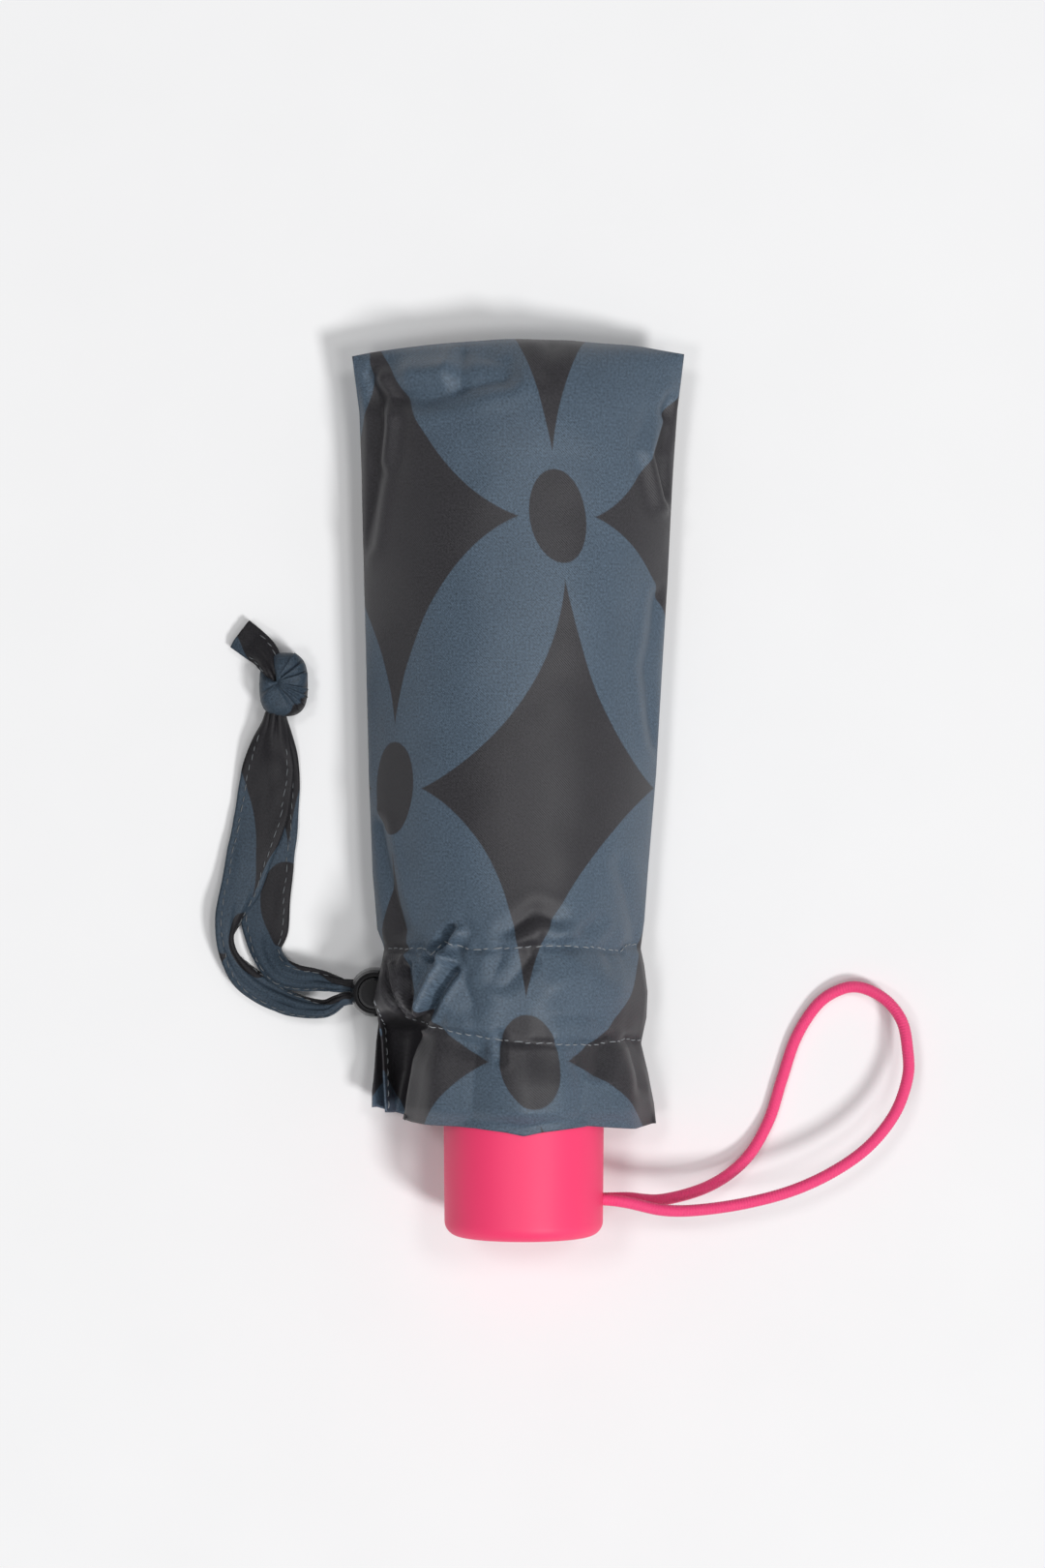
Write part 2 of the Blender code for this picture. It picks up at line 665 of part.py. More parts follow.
def build_crown(materials, shaft):
    base = CROWN_PIVOT - CROWN_HALF_HEIGHT
    profile = [(HUB_BORE, base), (HUB_RADIUS, base), (HUB_RADIUS, CROWN_TOP)]
    profile += groove(CROWN_PIVOT, CROWN_TOP)
    profile.append((HUB_BORE, CROWN_TOP))
    crown = place("crown", lathe("crown", profile), materials["black_plastic"], shaft)
    cut_rib_slots(crown, CROWN_PIVOT, CROWN_HALF_HEIGHT, materials, shaft)
    wire_ring("crown_wire", CROWN_PIVOT, materials, shaft)

    stem = UPPER_TUBE_RADIUS - TUBE_WALL - CLEARANCE
    seat = CROWN_TOP + CLEARANCE + CANOPY_TOP_LAYER + CLEARANCE
    cap_profile = [(0.0, CROWN_TOP - CAP_STEM_DEPTH), (stem, CROWN_TOP - CAP_STEM_DEPTH), (stem, seat)]
    cap_profile.append((CAP_RADIUS, seat))
    for step in range(1, 6):
        angle = math.radians(90.0 * step / 6)
        cap_profile.append((CAP_RADIUS * math.cos(angle) ** 0.5, seat + CAP_HEIGHT * math.sin(angle)))
    cap_profile.append((0.0, seat + CAP_HEIGHT))
    place("ferrule_cap", lathe("ferrule_cap", cap_profile, SMALL_SEGMENTS), materials["black_plastic"], shaft)


def build_runner(materials, shaft):
    flange_base = RUNNER_TOP - RUNNER_FLANGE
    skirt = HUB_BORE + RUNNER_SKIRT_WALL
    profile = [(HUB_BORE, RUNNER_BASE), (skirt, RUNNER_BASE), (skirt, flange_base)]
    profile += [(HUB_RADIUS, flange_base), (HUB_RADIUS, RUNNER_TOP)]
    profile += groove(RUNNER_PIVOT, RUNNER_TOP)
    profile.append((HUB_BORE, RUNNER_TOP))
    runner = place("runner", lathe("runner", profile), materials["black_plastic"], shaft)
    cut_rib_slots(runner, RUNNER_PIVOT, RUNNER_FLANGE / 2, materials, shaft)
    wire_ring("runner_wire", RUNNER_PIVOT, materials, shaft)


def knuckle(centre, direction):
    """Hooked eye round a nub: hole and outer arcs, open towards the neck, for an arm on its outer side."""
    first = 90.0 - KNUCKLE_OPENING
    last = 90.0 + KNUCKLE_OPENING
    hole = arc(centre, KNUCKLE_HOLE, direction * first, direction * (last - 360.0), 9)
    outer = arc(centre, KNUCKLE_RADIUS, direction * last, direction * KNUCKLE_END, 6)
    return hole + outer


def nub(end, centre, direction):
    """Round nub on a slanted neck, from the arm's end to its far side."""
    spread = math.degrees(math.asin(NECK_WIDTH / 2 / NUB_RADIUS))
    lean = math.degrees(math.atan2(end[1] - centre[1], end[0] - centre[0]))
    half = NECK_WIDTH / 2
    if direction < 0:
        first, last = (end[0] - half, end[1]), (end[0] + half, end[1])
    else:
        first, last = (end[0] + half, end[1]), (end[0] - half, end[1])
    return [first, *arc(centre, NUB_RADIUS, lean + spread, lean - spread + 360.0, 7), last]


def rib_outlines():
    """Top, middle and tip rib of one folded rib, in (radial, axial) places from the crown's wire."""
    bottom = RUNNER_TOP + KNUCKLE_ABOVE_RUNNER - CROWN_PIVOT
    lower_pin = (TOP_LANE + KNUCKLE_RADIUS - PIVOT_RADIUS, bottom)
    upper_pin = (MIDDLE_LANE + KNUCKLE_RADIUS - PIVOT_RADIUS, NECK_LENGTH - FOLD_BELOW_CROWN)

    inner = TOP_LANE - PIVOT_RADIUS
    outer = inner + TOP_RIB_DEPTH
    arm_end = bottom + NECK_LENGTH
    shoulder = -EYE_SHOULDER * EYE_RADIUS
    top = [(outer, arm_end), (outer, shoulder)]
    top += arc((0.0, 0.0), EYE_RADIUS, 0.0, 87.0, 4)
    top += arc((0.0, 0.0), EYE_HOLE, 87.0, -267.0, 11)
    top += arc((0.0, 0.0), EYE_RADIUS, 93.0, 225.0, 5)
    top += [(inner, shoulder), (inner, arm_end)]
    top += nub(((inner + outer) / 2, arm_end), lower_pin, -1)

    inner = MIDDLE_LANE - PIVOT_RADIUS
    outer = inner + MIDDLE_RIB_DEPTH
    arm_end = -FOLD_BELOW_CROWN
    middle = [(inner, bottom + KNUCKLE_RADIUS)]
    middle += knuckle(lower_pin, 1)
    middle += [(outer, bottom - KNUCKLE_RADIUS / 2), (outer, arm_end)]
    middle += nub(((inner + outer) / 2, arm_end), upper_pin, 1)
    middle.append((inner, arm_end))

    inner = TIP_LANE - PIVOT_RADIUS
    outer = inner + TIP_RIB_DEPTH
    bead = ((inner + outer) / 2, HANDLE_TOP + TIP_ABOVE_HANDLE + TIP_BEAD_RADIUS - CROWN_PIVOT)
    tip = [(inner, upper_pin[1] - KNUCKLE_RADIUS)]
    tip += knuckle(upper_pin, -1)
    tip += [(outer, upper_pin[1] + KNUCKLE_RADIUS / 2), (outer, bead[1] + TIP_BEAD_RADIUS)]
    tip += arc(bead, TIP_BEAD_RADIUS, 30.0, -210.0, 7)
    tip.append((inner, bead[1] + TIP_BEAD_RADIUS))
    return {"top_rib": top, "middle_rib": middle, "tip_rib": tip}


def stretcher_outline():
    """Stretcher, in (radial, axial) places from the runner's wire."""
    inner = STRETCHER_LANE - PIVOT_RADIUS
    outer = inner + STRETCHER_DEPTH
    round_end = (inner + STRETCHER_DEPTH / 2, STRETCHER_LENGTH - STRETCHER_DEPTH / 2)
    flange_top = RUNNER_TOP - RUNNER_PIVOT + CLEARANCE
    shoulder = flange_top + STRETCHER_DEPTH
    outline = [(outer, shoulder)]
    outline += arc(round_end, STRETCHER_DEPTH / 2, 0.0, 180.0, 6)
    outline += [(inner, shoulder), (-EYE_RADIUS, flange_top)]
    outline += arc((0.0, 0.0), EYE_RADIUS, 180.0, 267.0, 4)
    outline += arc((0.0, 0.0), EYE_HOLE, 267.0, -87.0, 11)
    outline += arc((0.0, 0.0), EYE_RADIUS, 273.0, 440.0, 5)
    outline.append((STRETCHER_DEPTH - EYE_RADIUS, flange_top))
    return outline


def build_ribs(materials, shaft):
    meshes = {name: extruded(name, outline, RIB_WIDTH) for name, outline in rib_outlines().items()}
    stretcher = extruded("stretcher", stretcher_outline(), RIB_WIDTH)
    for index in range(RIB_COUNT):
        angle = rib_angle(index)
        x = PIVOT_RADIUS * math.cos(angle)
        y = PIVOT_RADIUS * math.sin(angle)
        turn = (0.0, 0.0, angle)
        crown_pivot = make_empty(f"rib_pivot_{index + 1}", (x, y, CROWN_PIVOT), turn, shaft)
        runner_pivot = make_empty(f"stretcher_pivot_{index + 1}", (x, y, RUNNER_PIVOT), turn, shaft)
        for name, mesh in meshes.items():
            place(f"{name}_{index + 1}", mesh, materials["rib_steel"], crown_pivot)
        place(f"stretcher_{index + 1}", stretcher, materials["rib_steel"], runner_pivot)


# Canopy


def canopy_ring(height, radius, pleat):
    points = []
    count = 6 * RIB_COUNT
    for step in range(count):
        angle = 2.0 * math.pi * step / count
        wave = 0.5 - 0.5 * math.cos(RIB_COUNT * angle + PLEAT_TWIST * height / CANOPY_RADIUS)
        pleated = radius - pleat * wave
        points.append((pleated * math.cos(angle), pleated * math.sin(angle), height))
    return points


def canopy_radius(height):
    """Outer radius of the folded canopy, which tapers from its hem to the crown."""
    share = (height - CANOPY_BASE) / (CROWN_PIVOT - FOLD_BELOW_CROWN - CANOPY_BASE)
    return CANOPY_RADIUS + (CANOPY_CROWN_RADIUS - CANOPY_RADIUS) * share


def build_canopy(materials, shaft):
    stem_hole = UPPER_TUBE_RADIUS
    under = CROWN_TOP + CLEARANCE
    over = under + CANOPY_TOP_LAYER
    shoulder = CROWN_PIVOT - FOLD_BELOW_CROWN
    span = shoulder - CANOPY_BASE
    rings = [canopy_ring(CANOPY_BASE, CANOPY_RADIUS - PLEAT_DEPTH, 0.4 * PLEAT_DEPTH)]
    for share in (0.03, 0.2, 0.4, 0.6, 0.8, 1.0):
        height = CANOPY_BASE + span * share
        rings.append(canopy_ring(height, canopy_radius(height), PLEAT_DEPTH))
    rings.append(canopy_ring(CROWN_PIVOT, CANOPY_CROWN_RADIUS - PLEAT_DEPTH, 0.5 * PLEAT_DEPTH))
    rings.append(canopy_ring(CROWN_TOP, HUB_RADIUS + 2 * CANOPY_TOP_LAYER, 0.0))
    rings.append(canopy_ring(over, HUB_RADIUS, 0.0))
    rings.append(canopy_ring(over, stem_hole, 0.0))
    rings.append(canopy_ring(under, stem_hole, 0.0))
    rings.append(canopy_ring(under, HUB_RADIUS + CLEARANCE, 0.0))
    rings.append(canopy_ring(CROWN_PIVOT, HUB_RADIUS + CLEARANCE, 0.0))
    rings.append(canopy_ring(CROWN_PIVOT - FOLD_BELOW_CROWN / 3, CANOPY_BORE, 0.0))
    rings.append(canopy_ring(CANOPY_BASE, CANOPY_BORE, 0.0))
    place("canopy", loft("canopy", rings, closed=True), materials["canopy_fabric"], shaft)


def build_tie_strap(materials, shaft):
    """Flat strap lying along the folds over the first rib, sewn on near the hem."""
    half = TIE_WIDTH / 2
    rings = []
    for height in (CANOPY_BASE + TIE_WIDTH, CANOPY_BASE + TIE_WIDTH + TIE_LENGTH):
        face = canopy_radius(height) + CLEARANCE
        back = face + TIE_THICKNESS
        corners = ((face, -half), (back, -half), (back, half), (face, half))
        rings.append([(x, y, height) for x, y in corners])
    turn = (0.0, 0.0, rib_angle(0))
    place("tie_strap", loft("tie_strap", rings), materials["canopy_fabric"], shaft, rotation=turn)


# Sleeve


def wing_stations():
    """Places along the shaft with the sleeve's left and right wing there, from the mouth to the seam."""
    plateau = RUN_WIDTH / 2 + SLEEVE_WALL
    stations = [
        (SLEEVE_MOUTH, *MOUTH_WINGS),
        (CHANNEL - CHANNEL_HALF_HEIGHT, *STITCH_WINGS),
        (CHANNEL - plateau, *CHANNEL_WINGS),
        (CHANNEL + plateau, *CHANNEL_WINGS),
        (CHANNEL + CHANNEL_HALF_HEIGHT, *STITCH_WINGS),
    ]
    return stations + [(SEAM_END - back, left, right) for back, left, right in BODY_WINGS]


def wing(y, side):
    """How far the sleeve reaches past the room for the umbrella: side 1 is left, side 2 right."""
    stations = wing_stations()
    for low, high in zip(stations, stations[1:]):
        if y <= high[0]:
            share = (y - low[0]) / (high[0] - low[0])
            return low[side] + (high[side] - low[side]) * share
    return stations[-1][side]


def sleeve_heights(y):
    """Underside, top and side-edge height of the sleeve at a place along the shaft."""
    shoulder = SEAM_END - SLEEVE_SHOULDER
    share = min(max((y - SLEEVE_MOUTH) / (shoulder - SLEEVE_MOUTH), 0.0), 1.0)
    top = SLEEVE_HEIGHT - SLEEVE_TAPER * share ** 2
    close = min(max((y - shoulder) / SLEEVE_SHOULDER, 0.0), 1.0)
    keep = math.sqrt(max(1.0 - close ** 2, 0.0))
    half_edge = SLEEVE_EDGE_THICKNESS / 2
    base = (SLEEVE_SEAM_HEIGHT - half_edge) * (1.0 - keep)
    top = SLEEVE_SEAM_HEIGHT + half_edge + (top - SLEEVE_SEAM_HEIGHT - half_edge) * keep
    edge = SLEEVE_EDGE_HEIGHT + (SLEEVE_SEAM_HEIGHT - SLEEVE_EDGE_HEIGHT) * close
    return base, top, edge


def roundness(y, x):
    """How square the sleeve's top is: it swells on the left, beside the toggle."""
    if x >= 0.0:
        return PLAIN_ROUNDNESS
    near = max(1.0 - ((y - CHANNEL) / CHANNEL_HALF_HEIGHT) ** 2, 0.0)
    return PLAIN_ROUNDNESS + (SWELL_ROUNDNESS - PLAIN_ROUNDNESS) * near


def fold_height(y, x):
    """How far the sleeve's top stands out in its folds, at an offset x from the shaft."""
    past = (y - CHANNEL) / CHANNEL_HALF_HEIGHT
    if abs(past) < 1.0:
        return CHANNEL_PUFF * math.cos(past * math.pi / 2)
    if past > 0.0:
        return 0.0
    below = CHANNEL - CHANNEL_HALF_HEIGHT - y
    flute = FLUTE_DEPTH * min(below / FLUTE_RUN, 1.0) * math.cos(math.pi * x / FLUTE_PITCH) ** 2
    off_pleat = min(abs(x + SIDE_PLEAT_OFFSET) / SIDE_PLEAT_HALF_WIDTH, 1.0)
    pleat = SIDE_PLEAT_DEPTH * math.cos(off_pleat * math.pi / 2) ** 2
    return flute - pleat * below / (CHANNEL - CHANNEL_HALF_HEIGHT - SLEEVE_MOUTH)


def sleeve_surface(y, x, reach, folded):
    """Underside and top height at an offset x from the shaft, where the side edge is a reach away."""
    base, top, edge = sleeve_heights(y)
    share = min(abs(x) / reach, 1.0)
    half_edge = SLEEVE_EDGE_THICKNESS / 2
    rise = max(share - SLEEVE_FLAT_SHARE, 0.0) / (1.0 - SLEEVE_FLAT_SHARE)
    under = base + (edge - half_edge - base) * rise ** 2
    power = roundness(y, x) if folded else PLAIN_ROUNDNESS
    full = (1.0 - share ** power) ** SLEEVE_FULLNESS
    over = edge + half_edge + (top - edge - half_edge) * full
    if folded:
        over += fold_height(y, x) * min(full / FOLD_FADE, 1.0)
    return under, over


def sleeve_ring(y, inset, folded=True):
    """Ring of points round the sleeve: over the top from right to left, then back underneath."""
    steps = SLEEVE_STEPS_ACROSS
    over_points = []
    under_points = []
    small = 0.001
    side_fold = SLEEVE_SIDE_FOLD if y > SLEEVE_MOUTH else SLEEVE_MOUTH_FOLD
    for step in range(steps + 1):
        place_across = math.cos(math.pi * step / steps)
        reach = SLEEVE_ROOM + wing(y, 2 if place_across > 0.0 else 1)
        if inset > 0.0:
            reach_here = reach - side_fold + SLEEVE_WALL - inset
        else:
            reach_here = reach
        x = place_across * reach_here
        under, over = sleeve_surface(y, x, reach, folded)
        next_under, next_over = sleeve_surface(y, x * (1.0 - small), reach, folded)
        run = max(small * abs(x), small * small)
        over -= inset * math.hypot(1.0, (next_over - over) / run)
        under += inset * math.hypot(1.0, (next_under - under) / run)
        over_points.append((AXIS_X + x, y, over))
        under_points.append((AXIS_X + x, y, under))
    return over_points + under_points[::-1]


def with_fold_rings(places):
    """Add places between those of the folded part, where the outer skin needs more rings."""
    closer = []
    for low, high in zip(places, places[1:]):
        folded = low < CHANNEL + CHANNEL_HALF_HEIGHT
        count = math.ceil((high - low) / FOLD_RING_PITCH) if folded else 1
        closer += [low + (high - low) * step / count for step in range(count)]
    return closer + places[-1:]


def sleeve_shell():
    """Closed bag: outer skin from mouth to seam, then the inner skin back to the mouth."""
    deepest = SEAM_END - SLEEVE_SEAM_ALLOWANCE
    places = [station[0] for station in wing_stations()]
    places += [SEAM_END - SLEEVE_SHOULDER * (1.0 - share) for share in SHOULDER_RINGS]
    places = sorted(y for y in places if y < deepest)
    finish = [deepest, SEAM_END - SLEEVE_SEAM_ALLOWANCE / 4, SEAM_END]
    outer = [sleeve_ring(y, 0.0) for y in with_fold_rings(places) + finish]
    inner = [sleeve_ring(y, SLEEVE_WALL) for y in places + finish[:1]]
    rings = outer + inner[::-1]
    size = len(rings[0])
    points = [point for ring in rings for point in ring]
    rows = [list(range(row * size, (row + 1) * size)) for row in range(len(rings))]
    faces = []
    for row in range(len(rows)):
        if row == len(outer) - 1:
            continue
        faces += bridge(rows[row], rows[(row + 1) % len(rows)])
    faces += strip_cap(rows[len(outer) - 1]) + strip_cap(rows[len(outer)])
    return mesh_from_faces("sleeve", points, faces)


def strip_cap(row):
    """Close a ring with quads between its top and its underside points."""
    half = len(row) // 2
    faces = []
    for step in range(half - 1):
        faces.append((row[step], row[step + 1], row[-step - 2], row[-step - 1]))
    return faces


def strap_level():
    """Height at which the drawstring comes out of the sleeve's left edge."""
    return sleeve_heights(CHANNEL)[2]


def build_sleeve(materials):
    sleeve = place("sleeve", sleeve_shell(), materials["slate_fabric"])
    level = strap_level()
    half_y = STRAND_SPACING / 2 + TAPE_BUNCH_WIDTH / 2 + CLEARANCE
    half_z = TAPE_BUNCH_THICKNESS / 2 + CLEARANCE
    reach = SLEEVE_ROOM + wing(CHANNEL, 1)
    slit_mesh = box(
        "drawstring_slit",
        (AXIS_X - 1.5 * reach, CHANNEL - half_y, level - half_z),
        (AXIS_X - reach + 2 * SLEEVE_SIDE_FOLD, CHANNEL + half_y, level + half_z),
    )
    cut(sleeve, place("drawstring_slit", slit_mesh, materials["slate_fabric"]))


# Drawstring and toggle


def build_channel_run(materials):
    outer_inset = SLEEVE_WALL + CLEARANCE
    inner_inset = outer_inset + RUN_THICKNESS
    low = CHANNEL - RUN_WIDTH / 2
    high = CHANNEL + RUN_WIDTH / 2
    rings = [sleeve_ring(y, outer_inset, folded=False) for y in (low, CHANNEL, high)]
    rings += [sleeve_ring(y, inner_inset, folded=False) for y in (high, CHANNEL, low)]
    mesh = loft("drawstring_channel_run", rings, closed=True)
    place("drawstring_channel_run", mesh, materials["tape_fabric"])


def run_outer_edge():
    """Left edge of the drawstring's run in the channel, where the strands meet it."""
    return min(point[0] for point in sleeve_ring(CHANNEL, SLEEVE_WALL + CLEARANCE, folded=False))


def toggle_centre():
    reach = SLEEVE_ROOM + wing(CHANNEL, 1)
    return Vector((AXIS_X - reach - CLEARANCE - TOGGLE_RADIUS, CHANNEL, strap_level()))


def strand_stations(side, route, knot_level):
    """Stations of one strand: bunched through slit and toggle, flat on the floor, bunched at the knot."""
    toggle = toggle_centre()
    lane = CHANNEL + side * STRAND_SPACING / 2
    knot_face = KNOT_CENTRE.y - KNOT_HALF_LENGTH - CLEARANCE
    start = run_outer_edge() - CLEARANCE
    stop = toggle.x - TOGGLE_RADIUS - CLEARANCE
    straight = (start, toggle.x, stop, stop - TAPE_BUNCH_THICKNESS / 2)
    controls = [(x, lane, toggle.z, 0.0) for x in straight]
    controls += route
    knot_x = KNOT_CENTRE.x - KNOT_TAPE_OFFSET
    for lead in (1.0, 0.5, 0.0):
        controls.append((knot_x, knot_face - lead * TAPE_BUNCH_WIDTH, knot_level, KNOT_TAPE_SHARE))
    stations = []
    for x, y, z, share in smooth_path(controls, 3):
        share = min(max(share, 0.0), 1.0)
        width = TAPE_BUNCH_WIDTH + (TAPE_WIDTH - TAPE_BUNCH_WIDTH) * share
        thickness = TAPE_BUNCH_THICKNESS + (TAPE_THICKNESS - TAPE_BUNCH_THICKNESS) * share
        stations.append((Vector((x, y, max(z, thickness / 2))), width, thickness))
    return stations


def build_drawstring(materials):
    build_channel_run(materials)
    gap = TAPE_BUNCH_THICKNESS / 2 + CLEARANCE / 2
    inner = strand_stations(1, INNER_STRAND_ROUTE, KNOT_CENTRE.z - gap)
    outer = strand_stations(-1, OUTER_STRAND_ROUTE, KNOT_CENTRE.z + gap)
    place("drawstring_strand_a", tape("drawstring_strand_a", inner), materials["tape_fabric"])
    place("drawstring_strand_b", tape("drawstring_strand_b", outer), materials["tape_fabric"])

    profile = [(0.0, -KNOT_HALF_LENGTH), (KNOT_END_RADIUS, -KNOT_HALF_LENGTH)]
    for step in range(1, 6):
        angle = math.pi * step / 6
        swell = KNOT_END_RADIUS + (KNOT_RADIUS - KNOT_END_RADIUS) * math.sin(angle)
        profile.append((swell, -KNOT_HALF_LENGTH * math.cos(angle)))
    profile += [(KNOT_END_RADIUS, KNOT_HALF_LENGTH), (0.0, KNOT_HALF_LENGTH)]
    knot_mesh = lathe("drawstring_knot", profile, SMALL_SEGMENTS)
    place("drawstring_knot", knot_mesh, materials["tape_fabric"], None, KNOT_CENTRE, LIE_DOWN)

    tail_face = KNOT_CENTRE.y + KNOT_HALF_LENGTH + CLEARANCE
    route = []
    knot_x = KNOT_CENTRE.x - KNOT_TAPE_OFFSET
    for lead in (0.0, 0.5, 1.0):
        route.append((knot_x, tail_face + lead * TAIL_THICKNESS, KNOT_CENTRE.z, KNOT_TAIL_SHARE))
    route += TAIL_ROUTE
    stations = []
    for x, y, z, share in smooth_path(route, 3):
        stations.append((Vector((x, y, z)), TAIL_WIDTH * share, TAIL_THICKNESS))
    place("drawstring_tail", tape("drawstring_tail", stations), materials["tape_fabric"])


def build_toggle(materials):
    """Barrel with a blind bore from above for the sprung button, and a slot through it for the tape."""
    centre = toggle_centre()
    half = TOGGLE_HEIGHT / 2
    bore = BUTTON_RADIUS + CLEARANCE
    bore_floor = TOGGLE_FLOOR - half
    profile = [(0.0, -half)]
    for step in range(9):
        angle = math.pi * (step / 8 - 0.5)
        bulge = TOGGLE_END_SHARE + (1.0 - TOGGLE_END_SHARE) * math.cos(angle)
        profile.append((TOGGLE_RADIUS * bulge, half * math.sin(angle)))
    profile += [(bore, half), (bore, bore_floor), (0.0, bore_floor)]
    body = place("toggle_body", lathe("toggle_body", profile), materials["black_plastic"], None, centre)
    half_y = STRAND_SPACING / 2 + TAPE_BUNCH_WIDTH / 2 + CLEARANCE
    half_z = TAPE_BUNCH_THICKNESS / 2 + CLEARANCE
    reach = 2 * TOGGLE_RADIUS
    slot_mesh = box("tape_slot", (-reach, -half_y, -half_z), (reach, half_y, half_z))
    cut(body, place("tape_slot", slot_mesh, materials["black_plastic"], None, centre))

    base = bore_floor + CLEARANCE + TOGGLE_SPRING_HEIGHT + CLEARANCE
    top = half + BUTTON_STAND
    rim = BUTTON_RADIUS / 6
    profile = [(0.0, base), (BUTTON_RADIUS, base)]
    profile += [(BUTTON_RADIUS, top - rim), (BUTTON_RADIUS - rim, top), (0.0, top)]
    button_mesh = lathe("toggle_button", profile, SMALL_SEGMENTS)
    button = place("toggle_button", button_mesh, materials["black_plastic"], None, centre)
    window_top = half_z + BUTTON_TRAVEL
    window_mesh = box("button_window", (-reach, -half_y, -half_z), (reach, half_y, window_top))
    cut(button, place("button_window", window_mesh, materials["black_plastic"], None, centre))
    build_toggle_spring(materials, centre, bore_floor)


def build_toggle_spring(materials, centre, floor):
    """Coil under the button, its two ends on the bore's floor and against the button."""
    radius = BUTTON_RADIUS - 2 * SPRING_WIRE
    low = floor + CLEARANCE + SPRING_WIRE
    high = floor + CLEARANCE + TOGGLE_SPRING_HEIGHT - SPRING_WIRE
    count = round(SPRING_TURNS * SPRING_TURN_POINTS)
    curve = bpy.data.curves.new("toggle_spring", "CURVE")
    curve.dimensions = "3D"
    curve.bevel_depth = SPRING_WIRE
    curve.bevel_resolution = 1
    curve.use_fill_caps = True
    spline = curve.splines.new("POLY")
    spline.points.add(count)
    for step, point in enumerate(spline.points):
        angle = 2.0 * math.pi * SPRING_TURNS * step / count
        height = low + (high - low) * step / count
        point.co = (radius * math.cos(angle), radius * math.sin(angle), height, 1.0)
    curve.materials.append(materials["steel"])
    spring = bpy.data.objects.new("toggle_spring", curve)
    spring.location = centre
    bpy.context.collection.objects.link(spring)


def main():
    clear_scene()
    materials = make_materials()
    shaft = make_empty("shaft_axis", (AXIS_X, 0.0, AXIS_HEIGHT), LIE_DOWN)
    build_handle(materials, shaft)
    build_wrist_loop(materials)
    build_shaft(materials, shaft)
    build_catch(materials, shaft)
    build_crown(materials, shaft)
    build_runner(materials, shaft)
    build_ribs(materials, shaft)
    build_canopy(materials, shaft)
    build_tie_strap(materials, shaft)
    build_sleeve(materials)
    build_drawstring(materials)
    build_toggle(materials)
    bpy.context.view_layer.update()


main()
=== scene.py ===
"""Folding umbrella in its drawstring sleeve: fabric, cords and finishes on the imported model.

Lengths in the tables are millimetres, and everything that reaches Blender is in metres.
"""
import math

import bmesh
import bpy
import numpy as np
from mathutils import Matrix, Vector, noise
from mathutils.bvhtree import BVHTree


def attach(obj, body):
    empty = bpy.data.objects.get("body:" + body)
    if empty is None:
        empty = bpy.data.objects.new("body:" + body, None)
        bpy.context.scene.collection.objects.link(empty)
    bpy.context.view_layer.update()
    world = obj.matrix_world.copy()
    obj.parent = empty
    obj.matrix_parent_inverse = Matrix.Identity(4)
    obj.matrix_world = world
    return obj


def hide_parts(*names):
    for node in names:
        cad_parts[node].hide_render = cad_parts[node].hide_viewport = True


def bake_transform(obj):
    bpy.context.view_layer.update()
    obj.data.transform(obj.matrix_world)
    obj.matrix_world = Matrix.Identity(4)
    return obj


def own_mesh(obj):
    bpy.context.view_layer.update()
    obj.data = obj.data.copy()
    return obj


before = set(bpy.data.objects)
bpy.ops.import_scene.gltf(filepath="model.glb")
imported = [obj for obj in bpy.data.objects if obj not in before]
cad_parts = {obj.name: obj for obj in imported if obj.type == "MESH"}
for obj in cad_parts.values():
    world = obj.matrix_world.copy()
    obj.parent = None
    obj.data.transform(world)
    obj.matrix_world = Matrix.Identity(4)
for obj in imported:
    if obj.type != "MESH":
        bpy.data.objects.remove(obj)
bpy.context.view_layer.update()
MM = 0.001
TURN = 2.0 * math.pi
CLOTH_UV = "flat_cloth"

# The umbrella's axis and the pieces that the fabric has to clear
AXIS_X = 1.5
AXIS_Z = 23.0
HANDLE_REACH = 22.1
HANDLE_TOP = -75.0
CANOPY_REACH = ((-71.0, 21.2), (6.0, 20.2), (86.0, 17.4), (100.0, 12.6))
RIB_COUNT = 8


# Helpers

CURVE_STEPS = 24


def ease(value, low, high):
    share = np.clip((np.asarray(value, float) - low) / (high - low), 0.0, 1.0)
    return share * share * (3.0 - 2.0 * share)


def lookup(value, rows, index):
    table = np.array(rows, float)
    return np.interp(value, table[:, 0], table[:, index])


def smooth_curve(points, step):
    """Points through all the given ones, evenly spaced about step apart. Extra columns are carried along."""
    points = np.array(points, float)
    padded = np.vstack([2 * points[0] - points[1], points, 2 * points[-1] - points[-2]])
    dense = []
    for index in range(len(points) - 1):
        a, b, c, d = padded[index:index + 4]
        for t in np.linspace(0.0, 1.0, CURVE_STEPS, endpoint=False):
            dense.append(0.5 * (2 * b + (c - a) * t + (2 * a - 5 * b + 4 * c - d) * t ** 2
                                + (3 * b - a - 3 * c + d) * t ** 3))
    dense.append(points[-1])
    return even_steps(np.array(dense), step)


def arc_lengths(points):
    """Distance of each point from the first, along the line that they make."""
    steps = np.linalg.norm(np.diff(np.asarray(points, float)[:, :3], axis=0), axis=1)
    return np.concatenate([[0.0], np.cumsum(steps)])


def at_lengths(places, lengths, points):
    """Points at given distances along a line of points, for one distance or for many."""
    return np.stack([np.interp(places, lengths, values) for values in np.asarray(points, float).T], axis=-1)


def resample(points, count):
    lengths = arc_lengths(points)
    return at_lengths(np.linspace(0.0, lengths[-1], count), lengths, points)


def even_steps(points, step):
    return resample(points, max(int(round(arc_lengths(points)[-1] / step)), 2) + 1)


def row_lengths(points):
    """Distance of each point in a grid from the first one of its row."""
    return np.array([arc_lengths(row) for row in points])


def unit(vectors):
    return vectors / np.maximum(np.linalg.norm(vectors, axis=-1, keepdims=True), 1e-9)


